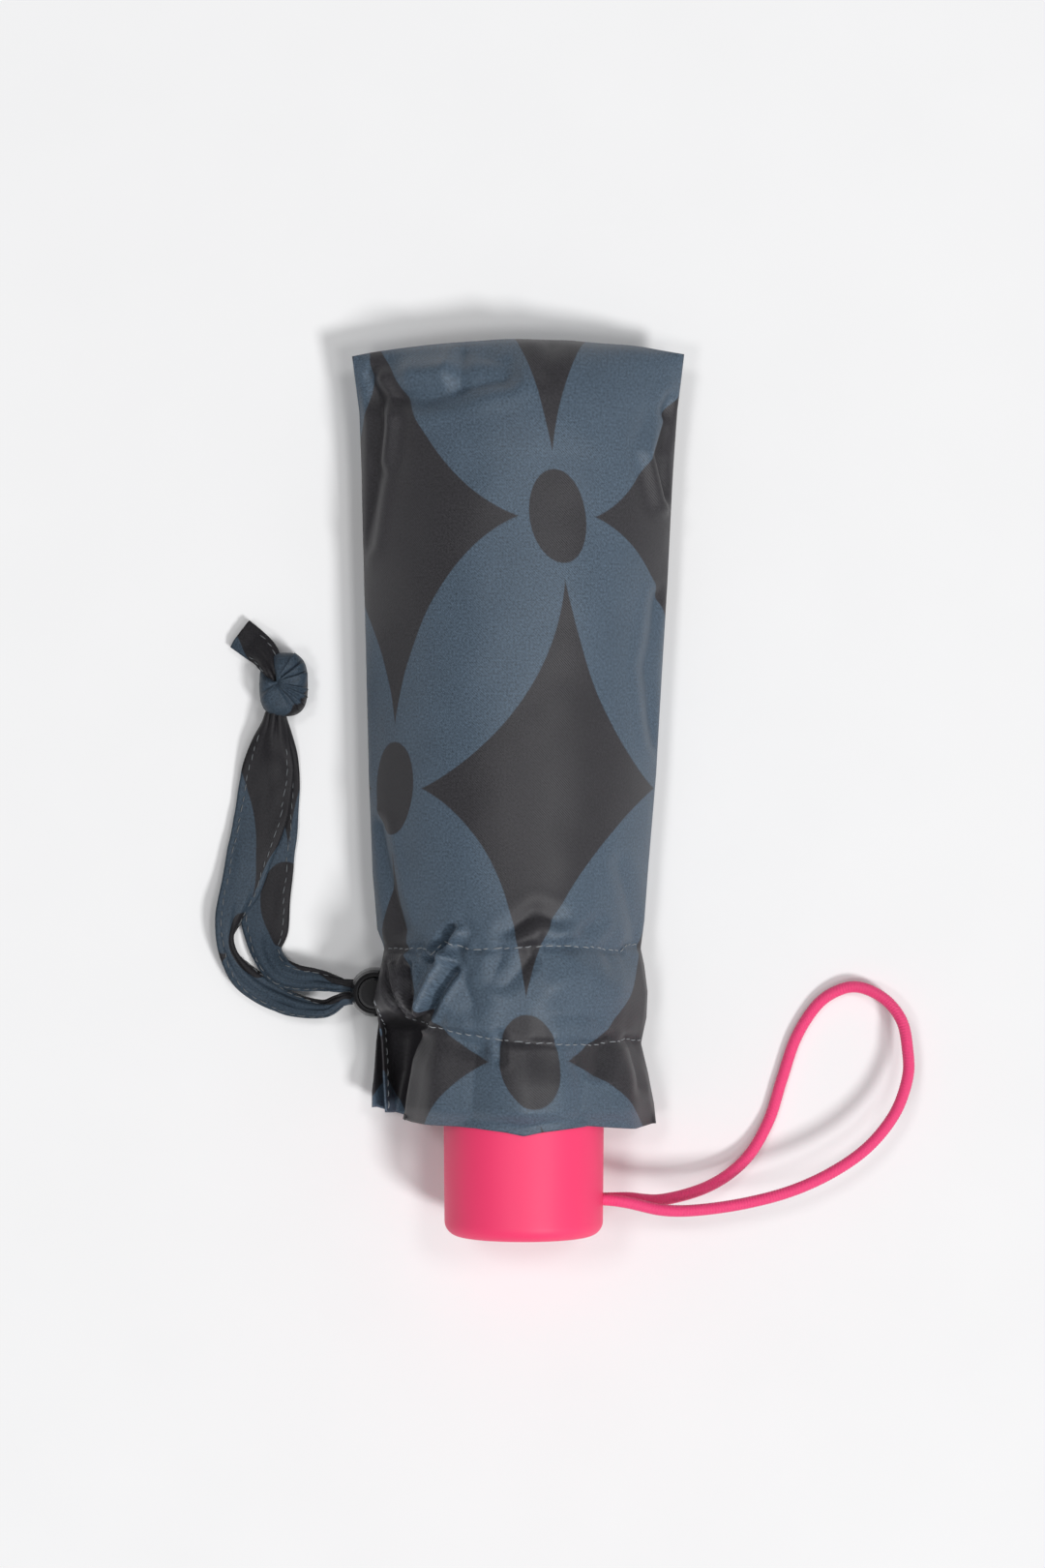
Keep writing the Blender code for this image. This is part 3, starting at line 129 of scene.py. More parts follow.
def ring_angles(sides):
    return np.linspace(0.0, TURN, sides, endpoint=False)


def rough(x, y, z, scale, seed):
    """Soft noise between about -1 and 1, for arrays of places in millimetres."""
    x, y, z = np.broadcast_arrays(x, y, z)
    flat = np.stack([x.ravel(), y.ravel(), z.ravel()], axis=1) / scale + seed * 7.31
    values = [noise.noise(Vector(point)) for point in flat]
    return np.array(values).reshape(x.shape)


def crisp(angle):
    """A wave of straight runs between sharp folds, from -1 to 1."""
    return np.arcsin(np.sin(angle)) * 2.0 / math.pi


def grid_faces(rows, columns, wrap=False):
    faces = []
    last = columns if wrap else columns - 1
    for j in range(rows - 1):
        for i in range(last):
            k = (i + 1) % columns
            faces.append((j * columns + i, j * columns + k, (j + 1) * columns + k, (j + 1) * columns + i))
    return faces


def tube_faces(rings, sides):
    """Faces of rings of points, one after the other, with both ends closed."""
    last = (rings - 1) * sides
    ends = [tuple(range(sides))[::-1], tuple(range(last, last + sides))]
    return grid_faces(rings, sides, wrap=True) + ends


def add_piece(name, mesh, material):
    mesh.materials.clear()
    mesh.materials.append(material)
    piece = bpy.data.objects.new(name, mesh)
    bpy.context.collection.objects.link(piece)
    return piece


def mesh_piece(name, points, faces, material, uv=None, weld=0.0):
    """A new piece from millimetre points. uv gives each point's place on the flat cloth, in millimetres."""
    mesh = bpy.data.meshes.new(name)
    points = np.asarray(points, float).reshape(-1, 3) * MM
    mesh.from_pydata([tuple(point) for point in points], [], faces)
    if uv is not None:
        layer = mesh.uv_layers.new(name=CLOTH_UV)
        corner_points = np.zeros(len(mesh.loops), dtype=np.int32)
        mesh.loops.foreach_get("vertex_index", corner_points)
        flat = np.asarray(uv, float).reshape(-1, 2)[corner_points] * MM
        layer.data.foreach_set("uv", flat.ravel())
    if weld:
        shape = bmesh.new()
        shape.from_mesh(mesh)
        bmesh.ops.remove_doubles(shape, verts=shape.verts, dist=weld * MM)
        shape.to_mesh(mesh)
        shape.free()
    mesh.shade_smooth()
    return add_piece(name, mesh, material)


def node_copy(source, name, material):
    """A piece with a copy of a node's own mesh."""
    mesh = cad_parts[source].data.copy()
    mesh.name = name
    return add_piece(name, mesh, material)


def face_area(piece):
    return sum(face.area for face in piece.data.polygons)


def flat_grid(across, along):
    """Places on the flat cloth for rows along it and columns across it."""
    return np.stack(np.broadcast_arrays(across[None, :], along[:, None]), axis=2)


def thicken(piece, thickness, offset):
    solid = piece.modifiers.new("thickness", "SOLIDIFY")
    solid.thickness = thickness * MM
    solid.offset = offset
    solid.use_rim = True


def tube(centres, radii, sides):
    """Points and faces of a round tube along centres, with one radius per ring or per ring and side."""
    centres = np.asarray(centres, float)
    radii = np.asarray(radii, float)
    along = unit(np.gradient(centres, axis=0))
    normal = np.cross(along[0], (0.0, 0.0, 1.0))
    if np.linalg.norm(normal) < 0.1:
        normal = np.cross(along[0], (1.0, 0.0, 0.0))
    points = []
    for j, centre in enumerate(centres):
        normal = normal - along[j] * normal.dot(along[j])
        normal /= np.linalg.norm(normal)
        other = np.cross(along[j], normal)
        ring = radii[j] if radii.ndim > 1 else np.full(sides, radii[j])
        for turn, radius in zip(ring_angles(sides), ring):
            points.append(centre + radius * (math.cos(turn) * normal + math.sin(turn) * other))
    return points, tube_faces(len(centres), sides)


def join_parts(parts):
    points = []
    faces = []
    for part_points, part_faces in parts:
        first = len(points)
        points += list(part_points)
        faces += [tuple(corner + first for corner in face) for face in part_faces]
    return points, faces


# Camera: straight above, at the photograph's scale

SENSOR_WIDTH = 36.0
LENS = 96.33
CAMERA_PLACE = (0.00117, 0.00117, 1.15)


def build_camera():
    data = bpy.data.cameras.new("camera")
    data.sensor_width = SENSOR_WIDTH
    data.lens = LENS
    camera = bpy.data.objects.new("camera", data)
    camera.location = CAMERA_PLACE
    bpy.context.collection.objects.link(camera)
    bpy.context.scene.camera = camera


build_camera()
bpy.context.scene.view_settings.view_transform = "Standard"


# Materials


class Finish:
    """A new material, with short ways to add nodes to it."""

    def __init__(self, name):
        self.material = bpy.data.materials.new(name)
        self.material.use_nodes = True
        self.tree = self.material.node_tree
        self.shader = self.tree.nodes["Principled BSDF"]

    def feed(self, sockets, values):
        """Give sockets, by name or number, a link or a constant."""
        for key, value in values.items():
            socket = sockets[key]
            if isinstance(value, bpy.types.NodeSocket):
                self.tree.links.new(value, socket)
            elif isinstance(value, tuple) and socket.type == "RGBA":
                socket.default_value = (*value, 1.0)
            else:
                socket.default_value = value

    def node(self, kind, inputs, **settings):
        item = self.tree.nodes.new("ShaderNode" + kind)
        for key, value in settings.items():
            setattr(item, key, value)
        self.feed(item.inputs, inputs)
        return item.outputs

    def set(self, values):
        self.feed(self.shader.inputs, values)

    def maths(self, operation, *values, clamp=False):
        return self.node("Math", dict(enumerate(values)), operation=operation, use_clamp=clamp)[0]

    def mix(self, share, first, second, mode="MIX"):
        return self.node("Mix", {0: share, 6: first, 7: second}, data_type="RGBA", blend_type=mode)[2]

    def noise(self, where, scale, detail):
        return self.node("TexNoise", {"Vector": where, "Scale": scale, "Detail": detail})["Fac"]

    def spread(self, value, low, high):
        """Map a 0 to 1 value to the range from low to high."""
        return self.node("MapRange", {"Value": value, "To Min": low, "To Max": high})[0]

    def wave(self, value, pitch):
        return self.maths("SINE", self.maths("MULTIPLY", value, TURN / pitch))

    def squares(self, first, second):
        return self.maths("ADD", self.maths("POWER", first, 2.0), self.maths("POWER", second, 2.0))

    def step_over(self, value, limit, sharpness):
        """1 where a value is over its limit, 0 below it, with a short soft edge."""
        return self.maths("MULTIPLY", self.maths("SUBTRACT", value, limit), sharpness, clamp=True)

    def solid_places(self):
        return self.node("TexCoord", {})["Object"]

    def cloth_places(self):
        """Places on the flat cloth: both coordinates, the one across and the one along."""
        flat = self.node("UVMap", {}, uv_map=CLOTH_UV)[0]
        parts = self.node("SeparateXYZ", {"Vector": flat})
        return flat, parts[0], parts[1]

    def paint(self, colour, shade):
        """A colour, made lighter and darker by a shade near 1."""
        level = self.node("CombineColor", {"Red": shade, "Green": shade, "Blue": shade})[0]
        self.set({"Base Color": self.mix(1.0, colour, level, "MULTIPLY")})

    def bump(self, height, distance, strength):
        bent = self.node("Bump", {"Height": height, "Distance": distance, "Strength": strength})
        self.set({"Normal": bent[0]})


# Print: half a repeat across and along and its wobble in metres, then sizes and edges within the repeat
PRINT_WIDTH = 0.050
PRINT_HEIGHT = 0.072
PRINT_WOBBLE = 0.030
PETAL_REACH = 1.05
PETAL_EDGE = 90.0
HEART_RADIUS = 0.17
HEART_EDGE = 500.0
SLATE = (0.066, 0.098, 0.137)
CHARCOAL = (0.028, 0.0266, 0.031)
TWILL_PITCH = 0.0007
CORD_THREAD_PITCH = 0.00042


def petal_mask(cloth, across, along, shift):
    """1 in flowers of four big petals on a mirrored lattice, 0 in their hearts and on the ground between."""
    maths = cloth.maths
    a = maths("PINGPONG", maths("MULTIPLY_ADD", across, 1.0 / PRINT_WIDTH, shift[0]), 1.0)
    b = maths("PINGPONG", maths("MULTIPLY_ADD", along, 1.0 / PRINT_HEIGHT, shift[1]), 1.0)
    far_a = maths("SUBTRACT", 1.0, a)
    far_b = maths("SUBTRACT", 1.0, b)
    worst = maths("MAXIMUM", cloth.squares(far_a, b), cloth.squares(a, far_b))
    off_petal = cloth.step_over(worst, PETAL_REACH, PETAL_EDGE)
    centre = maths("MINIMUM", cloth.squares(a, b), cloth.squares(far_a, far_b))
    off_heart = cloth.step_over(centre, HEART_RADIUS ** 2, HEART_EDGE)
    return maths("MULTIPLY", off_heart, maths("SUBTRACT", 1.0, off_petal))


def fabric_material(name, shift=(0.0, 0.0), gain=1.0, specular=0.45, printed=True):
    """Fine twill with a grainy sheen, printed in two tones."""
    cloth = Finish(name)
    flat, across, along = cloth.cloth_places()
    colour = tuple(gain * part for part in CHARCOAL)
    if printed:
        wobble = cloth.noise(flat, 9.0, 0.0)
        bent = cloth.maths("MULTIPLY_ADD", wobble, PRINT_WOBBLE, across)
        slate = tuple(gain * part for part in SLATE)
        colour = cloth.mix(petal_mask(cloth, bent, along, shift), colour, slate)
    twill = cloth.wave(cloth.maths("ADD", across, along), TWILL_PITCH)
    grain = cloth.noise(flat, 1700.0, 3.0)
    cloudy = cloth.noise(flat, 90.0, 4.0)
    shade = cloth.maths("MULTIPLY_ADD", grain, 1.9, 0.05)
    shade = cloth.maths("MULTIPLY_ADD", twill, 0.08, shade)
    cloth.paint(colour, cloth.maths("MULTIPLY", shade, cloth.spread(cloudy, 0.88, 1.12)))
    cloth.set({"Roughness": cloth.spread(grain, 0.40, 0.62), "Specular IOR Level": specular})
    cloth.set({"Sheen Weight": 0.02, "Sheen Roughness": 0.45})
    weave = cloth.maths("MULTIPLY_ADD", grain, 0.8, cloth.maths("MULTIPLY", twill, 0.35))
    cloth.bump(weave, 0.00006, 0.8)
    return cloth.material


def plastic_material(name, colour, roughness, grain_scale, grain_depth, specular=0.5, tint=0.06):
    """Moulded plastic: fine surface texture, slightly uneven colour and gloss."""
    plastic = Finish(name)
    fine = plastic.noise(plastic.solid_places(), grain_scale, 3.0)
    broad = plastic.noise(plastic.solid_places(), 60.0, 4.0)
    plastic.paint(colour, plastic.spread(broad, 1.0 - tint, 1.0 + tint))
    gloss = plastic.spread(broad, roughness - 0.06, roughness + 0.06)
    plastic.set({"Roughness": gloss, "Specular IOR Level": specular})
    plastic.bump(fine, grain_depth, 1.0)
    return plastic.material


def metal_material(name, colour, roughness, stretch):
    """Drawn metal: fine lines along the part, small changes of tone, a few dull spots."""
    metal = Finish(name)
    where = metal.node("Mapping", {"Vector": metal.solid_places(), "Scale": stretch})[0]
    lines = metal.noise(where, 900.0, 3.0)
    spots = metal.noise(metal.solid_places(), 220.0, 4.0)
    metal.paint(colour, metal.spread(spots, 0.86, 1.10))
    gloss = metal.spread(lines, roughness - 0.10, roughness + 0.12)
    metal.set({"Metallic": 1.0, "Roughness": gloss})
    metal.bump(lines, 0.00002, 0.6)
    return metal.material


def cord_material(name, colour):
    """Covered elastic: its fine wrapped threads, with a painted highlight on the crowns of the wrap and
    painted shade between them.
    """
    cord = Finish(name)
    _, across, along = cord.cloth_places()
    thread = cord.wave(cord.maths("MULTIPLY_ADD", across, 0.45, along), CORD_THREAD_PITCH)
    fuzz = cord.noise(cord.solid_places(), 2600.0, 3.0)
    # painted highlight and shade: the colour follows the wrap's wave, lighter on its crowns and darker
    # between them
    cord.paint(colour, cord.maths("MULTIPLY_ADD", thread, 0.09, cord.spread(fuzz, 0.82, 1.16)))
    cord.set({"Roughness": cord.spread(fuzz, 0.46, 0.66), "Sheen Weight": 0.10})
    cord.bump(thread, 0.00005, 0.8)
    return cord.material


def thread_material(name, colour):
    """Twisted sewing thread with a fine ply."""
    thread = Finish(name)
    ply = thread.noise(thread.solid_places(), 4200.0, 2.0)
    thread.paint(colour, thread.spread(ply, 0.70, 1.25))
    thread.set({"Roughness": thread.spread(ply, 0.60, 0.85)})
    thread.bump(ply, 0.00004, 0.7)
    return thread.material


SLEEVE_FABRIC = fabric_material("sleeve_fabric", (-0.46, 1.0))
# painted shade: the strap, its tail and the knot use the sleeve's print darkened to 0.56, standing in for
# the shade in their folds
TAPE_FABRIC = fabric_material("tape_fabric", (0.62, 0.15), 0.56, 0.20)
CANOPY_FABRIC = fabric_material("canopy_fabric", (0.10, 0.70), 0.96)
LINING = fabric_material("run_fabric", printed=False)
THREAD = thread_material("grey_thread", (0.30, 0.32, 0.34))
TAPE_THREAD = thread_material("dark_thread", (0.13, 0.14, 0.15))
PINK_PLASTIC = plastic_material("soft_touch_pink", (0.95, 0.050, 0.168), 0.52, 5200.0, 0.00002, 0.40, 0.03)
PINK_CORD = cord_material("pink_cord", (0.93, 0.055, 0.215))
BLACK_GLOSS = plastic_material("toggle_black", (0.007, 0.007, 0.008), 0.20, 1500.0, 0.000006, 0.40)
BLACK_PLASTIC = plastic_material("black_plastic", (0.018, 0.018, 0.020), 0.38, 2600.0, 0.00002)
TUBE_STEEL = metal_material("tube_steel", (0.56, 0.57, 0.59), 0.26, (6.0, 0.25, 6.0))
BRIGHT_STEEL = metal_material("bright_steel", (0.66, 0.66, 0.68), 0.22, (3.0, 3.0, 3.0))
RIB_STEEL = metal_material("rib_steel", (0.16, 0.16, 0.17), 0.34, (6.0, 0.3, 6.0))


# Sleeve. Edges: the place along the shaft, x and, where the edge bends, height. Hem: share of the half
# width and shift. Stitch lines: x and the place along the shaft

LEFT_EDGE = (
    (-38.2, -38.2), (-22.4, -39.5), (3.8, -40.5), (30.0, -41.1), (56.3, -41.8), (82.5, -42.4),
    (103.5, -43.0), (120.0, -44.9),
)
RIGHT_EDGE = (
    (-91.0, 37.4), (-85.4, 36.8), (-77.0, 35.2), (-69.1, 33.3), (-62.0, 34.8), (-55.2, 35.1), (-48.0, 34.2),
    (-43.4, 33.2), (-36.0, 34.2), (-22.4, 35.2), (3.8, 37.4), (30.0, 38.9), (56.3, 40.5), (82.5, 41.8),
    (103.5, 43.1), (120.0, 44.9),
)
FLAP_EDGE = (
    (-91.0, -35.6, 15.5), (-87.2, -35.8, 15.5), (-73.6, -36.3, 16.0), (-68.0, -36.6, 17.0),
    (-62.9, -37.3, 19.4), (-57.3, -39.0, 22.8), (-55.0, -38.4, 23.4), (-51.0, -37.6, 22.4),
    (-47.0, -36.8, 18.4), (-43.4, -36.3, 14.2), (-42.0, -36.7, 13.2), (-38.2, -38.2, 13.0),
)
BACK_EDGE = (
    (-91.0, -39.7, 12.0), (-85.4, -39.7, 11.5), (-69.1, -38.7, 8.0), (-63.0, -38.0, 5.2),
    (-58.0, -37.0, 3.6), (-55.0, -36.4, 3.3), (-51.0, -36.2, 4.4), (-47.0, -36.2, 9.0),
    (-43.4, -36.3, 12.6), (-42.0, -36.7, 13.2), (-38.2, -38.2, 13.0),
)
PLEAT_FOLD = ((-91.0, -31.0), (-89.3, -30.6), (-75.0, -27.6), (-62.9, -25.2), (-40.0, -25.2))
HEM_EDGE = (
    (-1.0, 4.5), (-0.9, 3.0), (-0.75, 1.6), (-0.3, 1.2), (-0.12, 0.4), (0.0, -0.6), (0.12, 0.4), (0.4, 1.5),
    (0.75, -0.4), (0.92, 0.4), (1.0, 1.7),
)
FIRST_STITCH = (
    (-36.5, -43.2), (-35.2, -43.3), (-24.6, -42.7), (-23.3, -44.4), (-19.6, -40.7), (-12.1, -42.6),
    (-1.4, -41.9), (8.1, -41.4), (19.7, -42.2), (27.6, -43.7), (29.0, -42.0), (33.4, -42.6),
)
SECOND_STITCH = (
    (-30.7, -61.3), (-25.1, -62.7), (-17.8, -64.2), (-9.6, -65.5), (-0.9, -66.6), (8.1, -67.2),
    (19.7, -68.2), (24.7, -67.8), (29.0, -67.4), (33.4, -68.3),
)
CREASES = (
    # gathers that run from the toggle over the channel: half width, height, places
    (1.0, -2.6, (-17.8, -37.3), (-20.4, -41.2), (-23.3, -44.9)),
    (1.4, 1.5, (-15.6, -38.0), (-18.4, -41.0), (-19.2, -45.1)),
    (1.1, -3.6, (-17.4, -48.0), (-21.4, -55.4), (-25.4, -62.2)),
    (0.9, -2.8, (-28.9, -47.3), (-28.6, -57.3), (-25.4, -62.2)),
    (0.9, -1.9, (-35.5, -47.8), (-33.2, -54.8), (-29.9, -61.0)),
    (1.5, 2.0, (-26.5, -60.0), (-23.6, -53.4), (-18.2, -45.2)),
    (1.0, 1.4, (-32.6, -48.3), (-31.0, -55.9), (-28.6, -60.0)),
    (2.8, -1.5, (-14.7, -49.3), (-12.2, -57.0)),
    (1.9, -1.3, (3.4, -44.2), (-0.1, -48.5), (-3.2, -51.8)),
    (1.9, -1.0, (-4.7, -45.0), (-7.2, -51.0)),
    (4.0, 1.2, (8.0, -52.0), (16.0, -48.0), (25.0, -53.0)),
    (3.0, -0.8, (9.0, -59.0), (20.0, -60.5)),
    # short puckers under the stitch lines
    (1.2, -1.2, (-5.2, -64.5), (-4.7, -71.2)),
    (2.2, -1.1, (-17.5, -66.2), (-9.5, -68.6)),
    (1.5, -1.2, (23.6, -67.0), (21.2, -75.2)),
    (1.6, -0.9, (30.0, -68.0), (31.5, -80.0)),
    (2.0, -1.2, (-2.4, -37.4), (4.5, -32.5), (10.3, -35.2)),
    (1.7, -1.1, (20.7, -35.6), (13.4, -41.2)),
    (2.2, 1.0, (-0.2, -40.0), (6.3, -36.4), (15.0, -38.6)),
    # top corners, top seam and side edges
    (2.6, -1.9, (-35.9, 106.3), (-24.5, 104.6), (-3.9, 108.3)),
    (3.8, 1.9, (-28.6, 111.6), (-20.5, 110.2)),
    (1.8, -1.3, (-14.5, 117.0), (-16.0, 108.0)),
    (2.6, -1.0, (9.0, 117.5), (7.0, 110.0)),
    (4.4, -2.0, (-9.0, 115.0), (-2.9, 113.0)),
    (1.8, -1.9, (-40.2, 113.0), (-37.2, 100.0), (-38.4, 86.0), (-41.4, 66.0)),
    (1.9, 1.0, (-36.8, 112.0), (-33.9, 100.0), (-35.4, 88.0)),
    (1.8, -2.3, (42.2, 106.1), (37.9, 89.9), (40.5, 79.0)),
    (2.0, 1.4, (39.4, 99.0), (35.2, 90.0), (38.0, 76.0)),
    (1.8, -1.6, (38.6, 51.5), (35.0, 32.4), (37.4, 12.8)),
    (1.8, -1.7, (-38.0, -10.0), (-34.6, -28.1), (-31.6, -38.0)),
    (1.8, -0.7, (27.0, -20.0), (30.5, -33.0), (32.0, -41.0)),
    # frill below the channel
    (3.6, -1.5, (-11.1, -69.5), (-12.4, -92.0)),
    (3.8, -1.6, (17.3, -71.0), (16.2, -92.0)),
    (3.6, 1.2, (-0.1, -69.5), (2.2, -93.0)),
    (3.2, 1.4, (27.6, -71.0), (28.5, -92.5)),
    (3.0, 0.9, (-20.5, -68.5), (-22.5, -91.0)),
)
SEAM_HEIGHT = 16.0
SEAM_HALF = 0.4
SHOULDER = 88.0
SEAM = 120.0
MOUTH = -91.0
EDGE_HEIGHT = 13.0
TOP_HEIGHT = 46.6
TOP_TAPER = 5.0
FULLNESS = 0.84
HALF_COLUMNS = 168
PLEAT_COLUMNS = 46
EDGE_COLUMNS = 9
SECTION_STEPS = 240
CLOTH = 0.45
FLAT_SHARE = 0.5
# Pleat by the toggle: its first place seen from the flap's edge, then places seen from its fold
PLEAT_ENTRY = (1.8, -7.0)
PLEAT_WALL = ((-2.0, -23.0), (2.8, -12.0), (2.2, -5.5), (0.0, -1.4))
PLEAT_FLOOR = 6.5
PLEAT_LIP = 5.0
PLEAT_STEPS = 80
PLEAT_RANGE = (58.2, 66.0)
PLEAT_CALM = (58.0, 64.0)
# Relief of the front panel. Waves: height, size and seed
WAVES = ((0.75, 24.0, 1), (0.26, 9.0, 2))
VALLEY_SHARPNESS = 1.25
RIDGE_SHARPNESS = 2.0
BANK_SHARE = 0.30
BANK_PLACE = 2.1
FRILL_RISE = 1.5
PUCKER_HEIGHT = 0.75
PUCKER_REACH = 5.5
GROOVE_DEPTH = 0.75
GROOVE_HALF = 1.1
TOGGLE_SPOT = (-38.0, -55.0)
RAY_HEIGHT = 0.55
# Form of the whole bag
HALF_WIDTH = 40.0
SAG = 0.5
SEAM_BOW = 1.3
SEAM_CURVE = 3.4
SEAM_WAVE = 0.35
HEM_FADE = 16.0
DROOP = 4.4
DROOP_FADE = 6.5
CANOPY_FADE = (98.0, 106.0)
PUSH_FLOOR = 8.0
FLOOR_GAP = 0.08


def sleeve_levels(y):
    """Underside, top and edge height at a place along the shaft."""
    share = min(max((y - MOUTH) / (SHOULDER - MOUTH), 0.0), 1.0)
    top = TOP_HEIGHT - TOP_TAPER * share ** 2
    close = min(max((y - SHOULDER) / (SEAM - SHOULDER), 0.0), 1.0)
    keep = math.sqrt(1.0 - close ** 2)
    base = (SEAM_HEIGHT - SEAM_HALF) * (1.0 - keep)
    top = SEAM_HEIGHT + SEAM_HALF + (top - SEAM_HEIGHT - SEAM_HALF) * keep
    return base, top, EDGE_HEIGHT + (SEAM_HEIGHT - EDGE_HEIGHT) * close


def span(shares, left, right):
    """x and edge height for shares of the half width, from -1 at the left edge to 1 at the right one."""
    end = np.where(shares < 0.0, left[1], right[1])
    reach = np.where(shares < 0.0, AXIS_X - left[0], right[0] - AXIS_X)
    return AXIS_X + shares * reach, end


def lens(shares, left, right, top):
    """Upper outline of a section between its left and right edge, each an (x, z) pair."""
    shares = np.asarray(shares, float)
    x, end = span(shares, left, right)
    return np.stack([x, end + (top - end) * (1.0 - shares ** 2) ** FULLNESS], axis=1)


def sleeve_section(y):
    """Ring of (x, z): over the top from the left edge, round the right one, and back underneath."""
    base, top, edge = sleeve_levels(y)
    right = (lookup(y, RIGHT_EDGE, 1), edge)
    if y > LEFT_EDGE[0][0]:
        left = back = (lookup(y, LEFT_EDGE, 1), edge)
    else:
        left, back = [(lookup(y, rows, 1), lookup(y, rows, 2)) for rows in (FLAP_EDGE, BACK_EDGE)]
    fold_x = lookup(y, PLEAT_FOLD, 1)
    turn = (fold_x + PLEAT_LIP - AXIS_X) / (AXIS_X - left[0])
    plain = resample(lens(np.linspace(-1.0, turn, PLEAT_STEPS), left, right, top), PLEAT_COLUMNS)
    fold_z = lens([(fold_x - AXIS_X) / (AXIS_X - left[0])], left, right, top)[0][1]
    wall = [(fold_x + x, max(fold_z + z, PLEAT_FLOOR)) for x, z in PLEAT_WALL]
    pleat = [left, (left[0] + PLEAT_ENTRY[0], left[1] + PLEAT_ENTRY[1]), *wall, tuple(plain[-1])]
    folded = resample(smooth_curve(pleat, 0.5), PLEAT_COLUMNS)
    first = plain + (folded - plain) * float(ease(-y, *PLEAT_RANGE))
    rest = lens(np.linspace(turn, 1.0, SECTION_STEPS), left, right, top)
    rest = resample(rest, HALF_COLUMNS + 2 - PLEAT_COLUMNS)[1:]
    shares = np.linspace(1.0, -1.0, SECTION_STEPS)
    x, end = span(shares, back, right)
    rise = np.clip(np.abs(shares) - FLAT_SHARE, 0.0, None) / (1.0 - FLAT_SHARE)
    under = np.stack([x, base + (end - base) * rise ** 2], axis=1)
    return np.vstack([first, rest, resample(under, HALF_COLUMNS + 1)[1:]])


def distance_to_line(x, y, line):
    best = np.full(x.shape, 1e9)
    for (ax, ay), (bx, by) in zip(line, line[1:]):
        dx, dy = bx - ax, by - ay
        share = np.clip(((x - ax) * dx + (y - ay) * dy) / (dx * dx + dy * dy), 0.0, 1.0)
        best = np.minimum(best, np.hypot(x - ax - share * dx, y - ay - share * dy))
    return best


def front_relief(x, y):
    """How far the front panel stands out of its plain form, in millimetres."""
    relief = sum(height * rough(x, y, 0.0, size, seed) for height, size, seed in WAVES)
    for width, height, *line in CREASES:
        distance = distance_to_line(x, y, line)
        sharpness = VALLEY_SHARPNESS if height < 0.0 else RIDGE_SHARPNESS
        relief += height * np.exp(-(distance / width) ** sharpness)
        relief -= BANK_SHARE * height * np.exp(-((distance - BANK_PLACE * width) / width) ** 2)
    upper = lookup(x, FIRST_STITCH, 1)
    lower = lookup(x, SECOND_STITCH, 1)
    share = np.clip((y - lower) / (upper - lower), 0.0, 1.0)
    relief += np.sin(math.pi * share) ** 0.8 * (1.0 + 0.6 * rough(x, y, 0.0, 13.0, 11))
    relief += FRILL_RISE * ease(lower - y, 2.0, 12.0)
    pucker = PUCKER_HEIGHT * rough(x, 0.25 * y, 3.0, 3.4, 5)
    for line in (upper, lower):
        relief += pucker * np.exp(-((y - line) / PUCKER_REACH) ** 2)
        relief -= GROOVE_DEPTH * np.exp(-((y - line) / GROOVE_HALF) ** 2)
    aside = x - TOGGLE_SPOT[0]
    above = y - TOGGLE_SPOT[1]
    away = np.hypot(aside, above)
    angle = np.arctan2(above, aside)
    rays = rough(14.0 * np.cos(angle), 14.0 * np.sin(angle), 0.05 * away, 3.0, 8)
    relief += RAY_HEIGHT * rays * ease(away, 8.0, 14.0) * (1.0 - ease(away, 18.0, 36.0))
    return relief


def sleeve_rows():
    """Places along the shaft, closest by the channel and the mouth."""
    return np.concatenate([
        np.arange(MOUTH, -34.0, 0.6), np.arange(-34.0, 84.0, 1.35),
        np.arange(84.0, SEAM - 1.0, 0.9), [SEAM - 0.4, SEAM],
    ])


def push_out(points):
    """Keep the cloth outside the handle and the canopy."""
    x = points[..., 0] - AXIS_X
    z = points[..., 2] - AXIS_Z
    y = points[..., 1]
    radius = np.hypot(x, z)
    canopy = lookup(y, CANOPY_REACH, 1)
    need = CLOTH + canopy + (HANDLE_REACH - canopy) * (1.0 - ease(y, HANDLE_TOP, HANDLE_TOP + 4.0))
    need *= 1.0 - ease(y, *CANOPY_FADE)
    inside = (radius < need) & (points[..., 2] > PUSH_FLOOR)
    scale = np.where(inside, need / np.maximum(radius, 0.1), 1.0)
    points[..., 0] = AXIS_X + x * scale
    points[..., 2] = AXIS_Z + z * scale


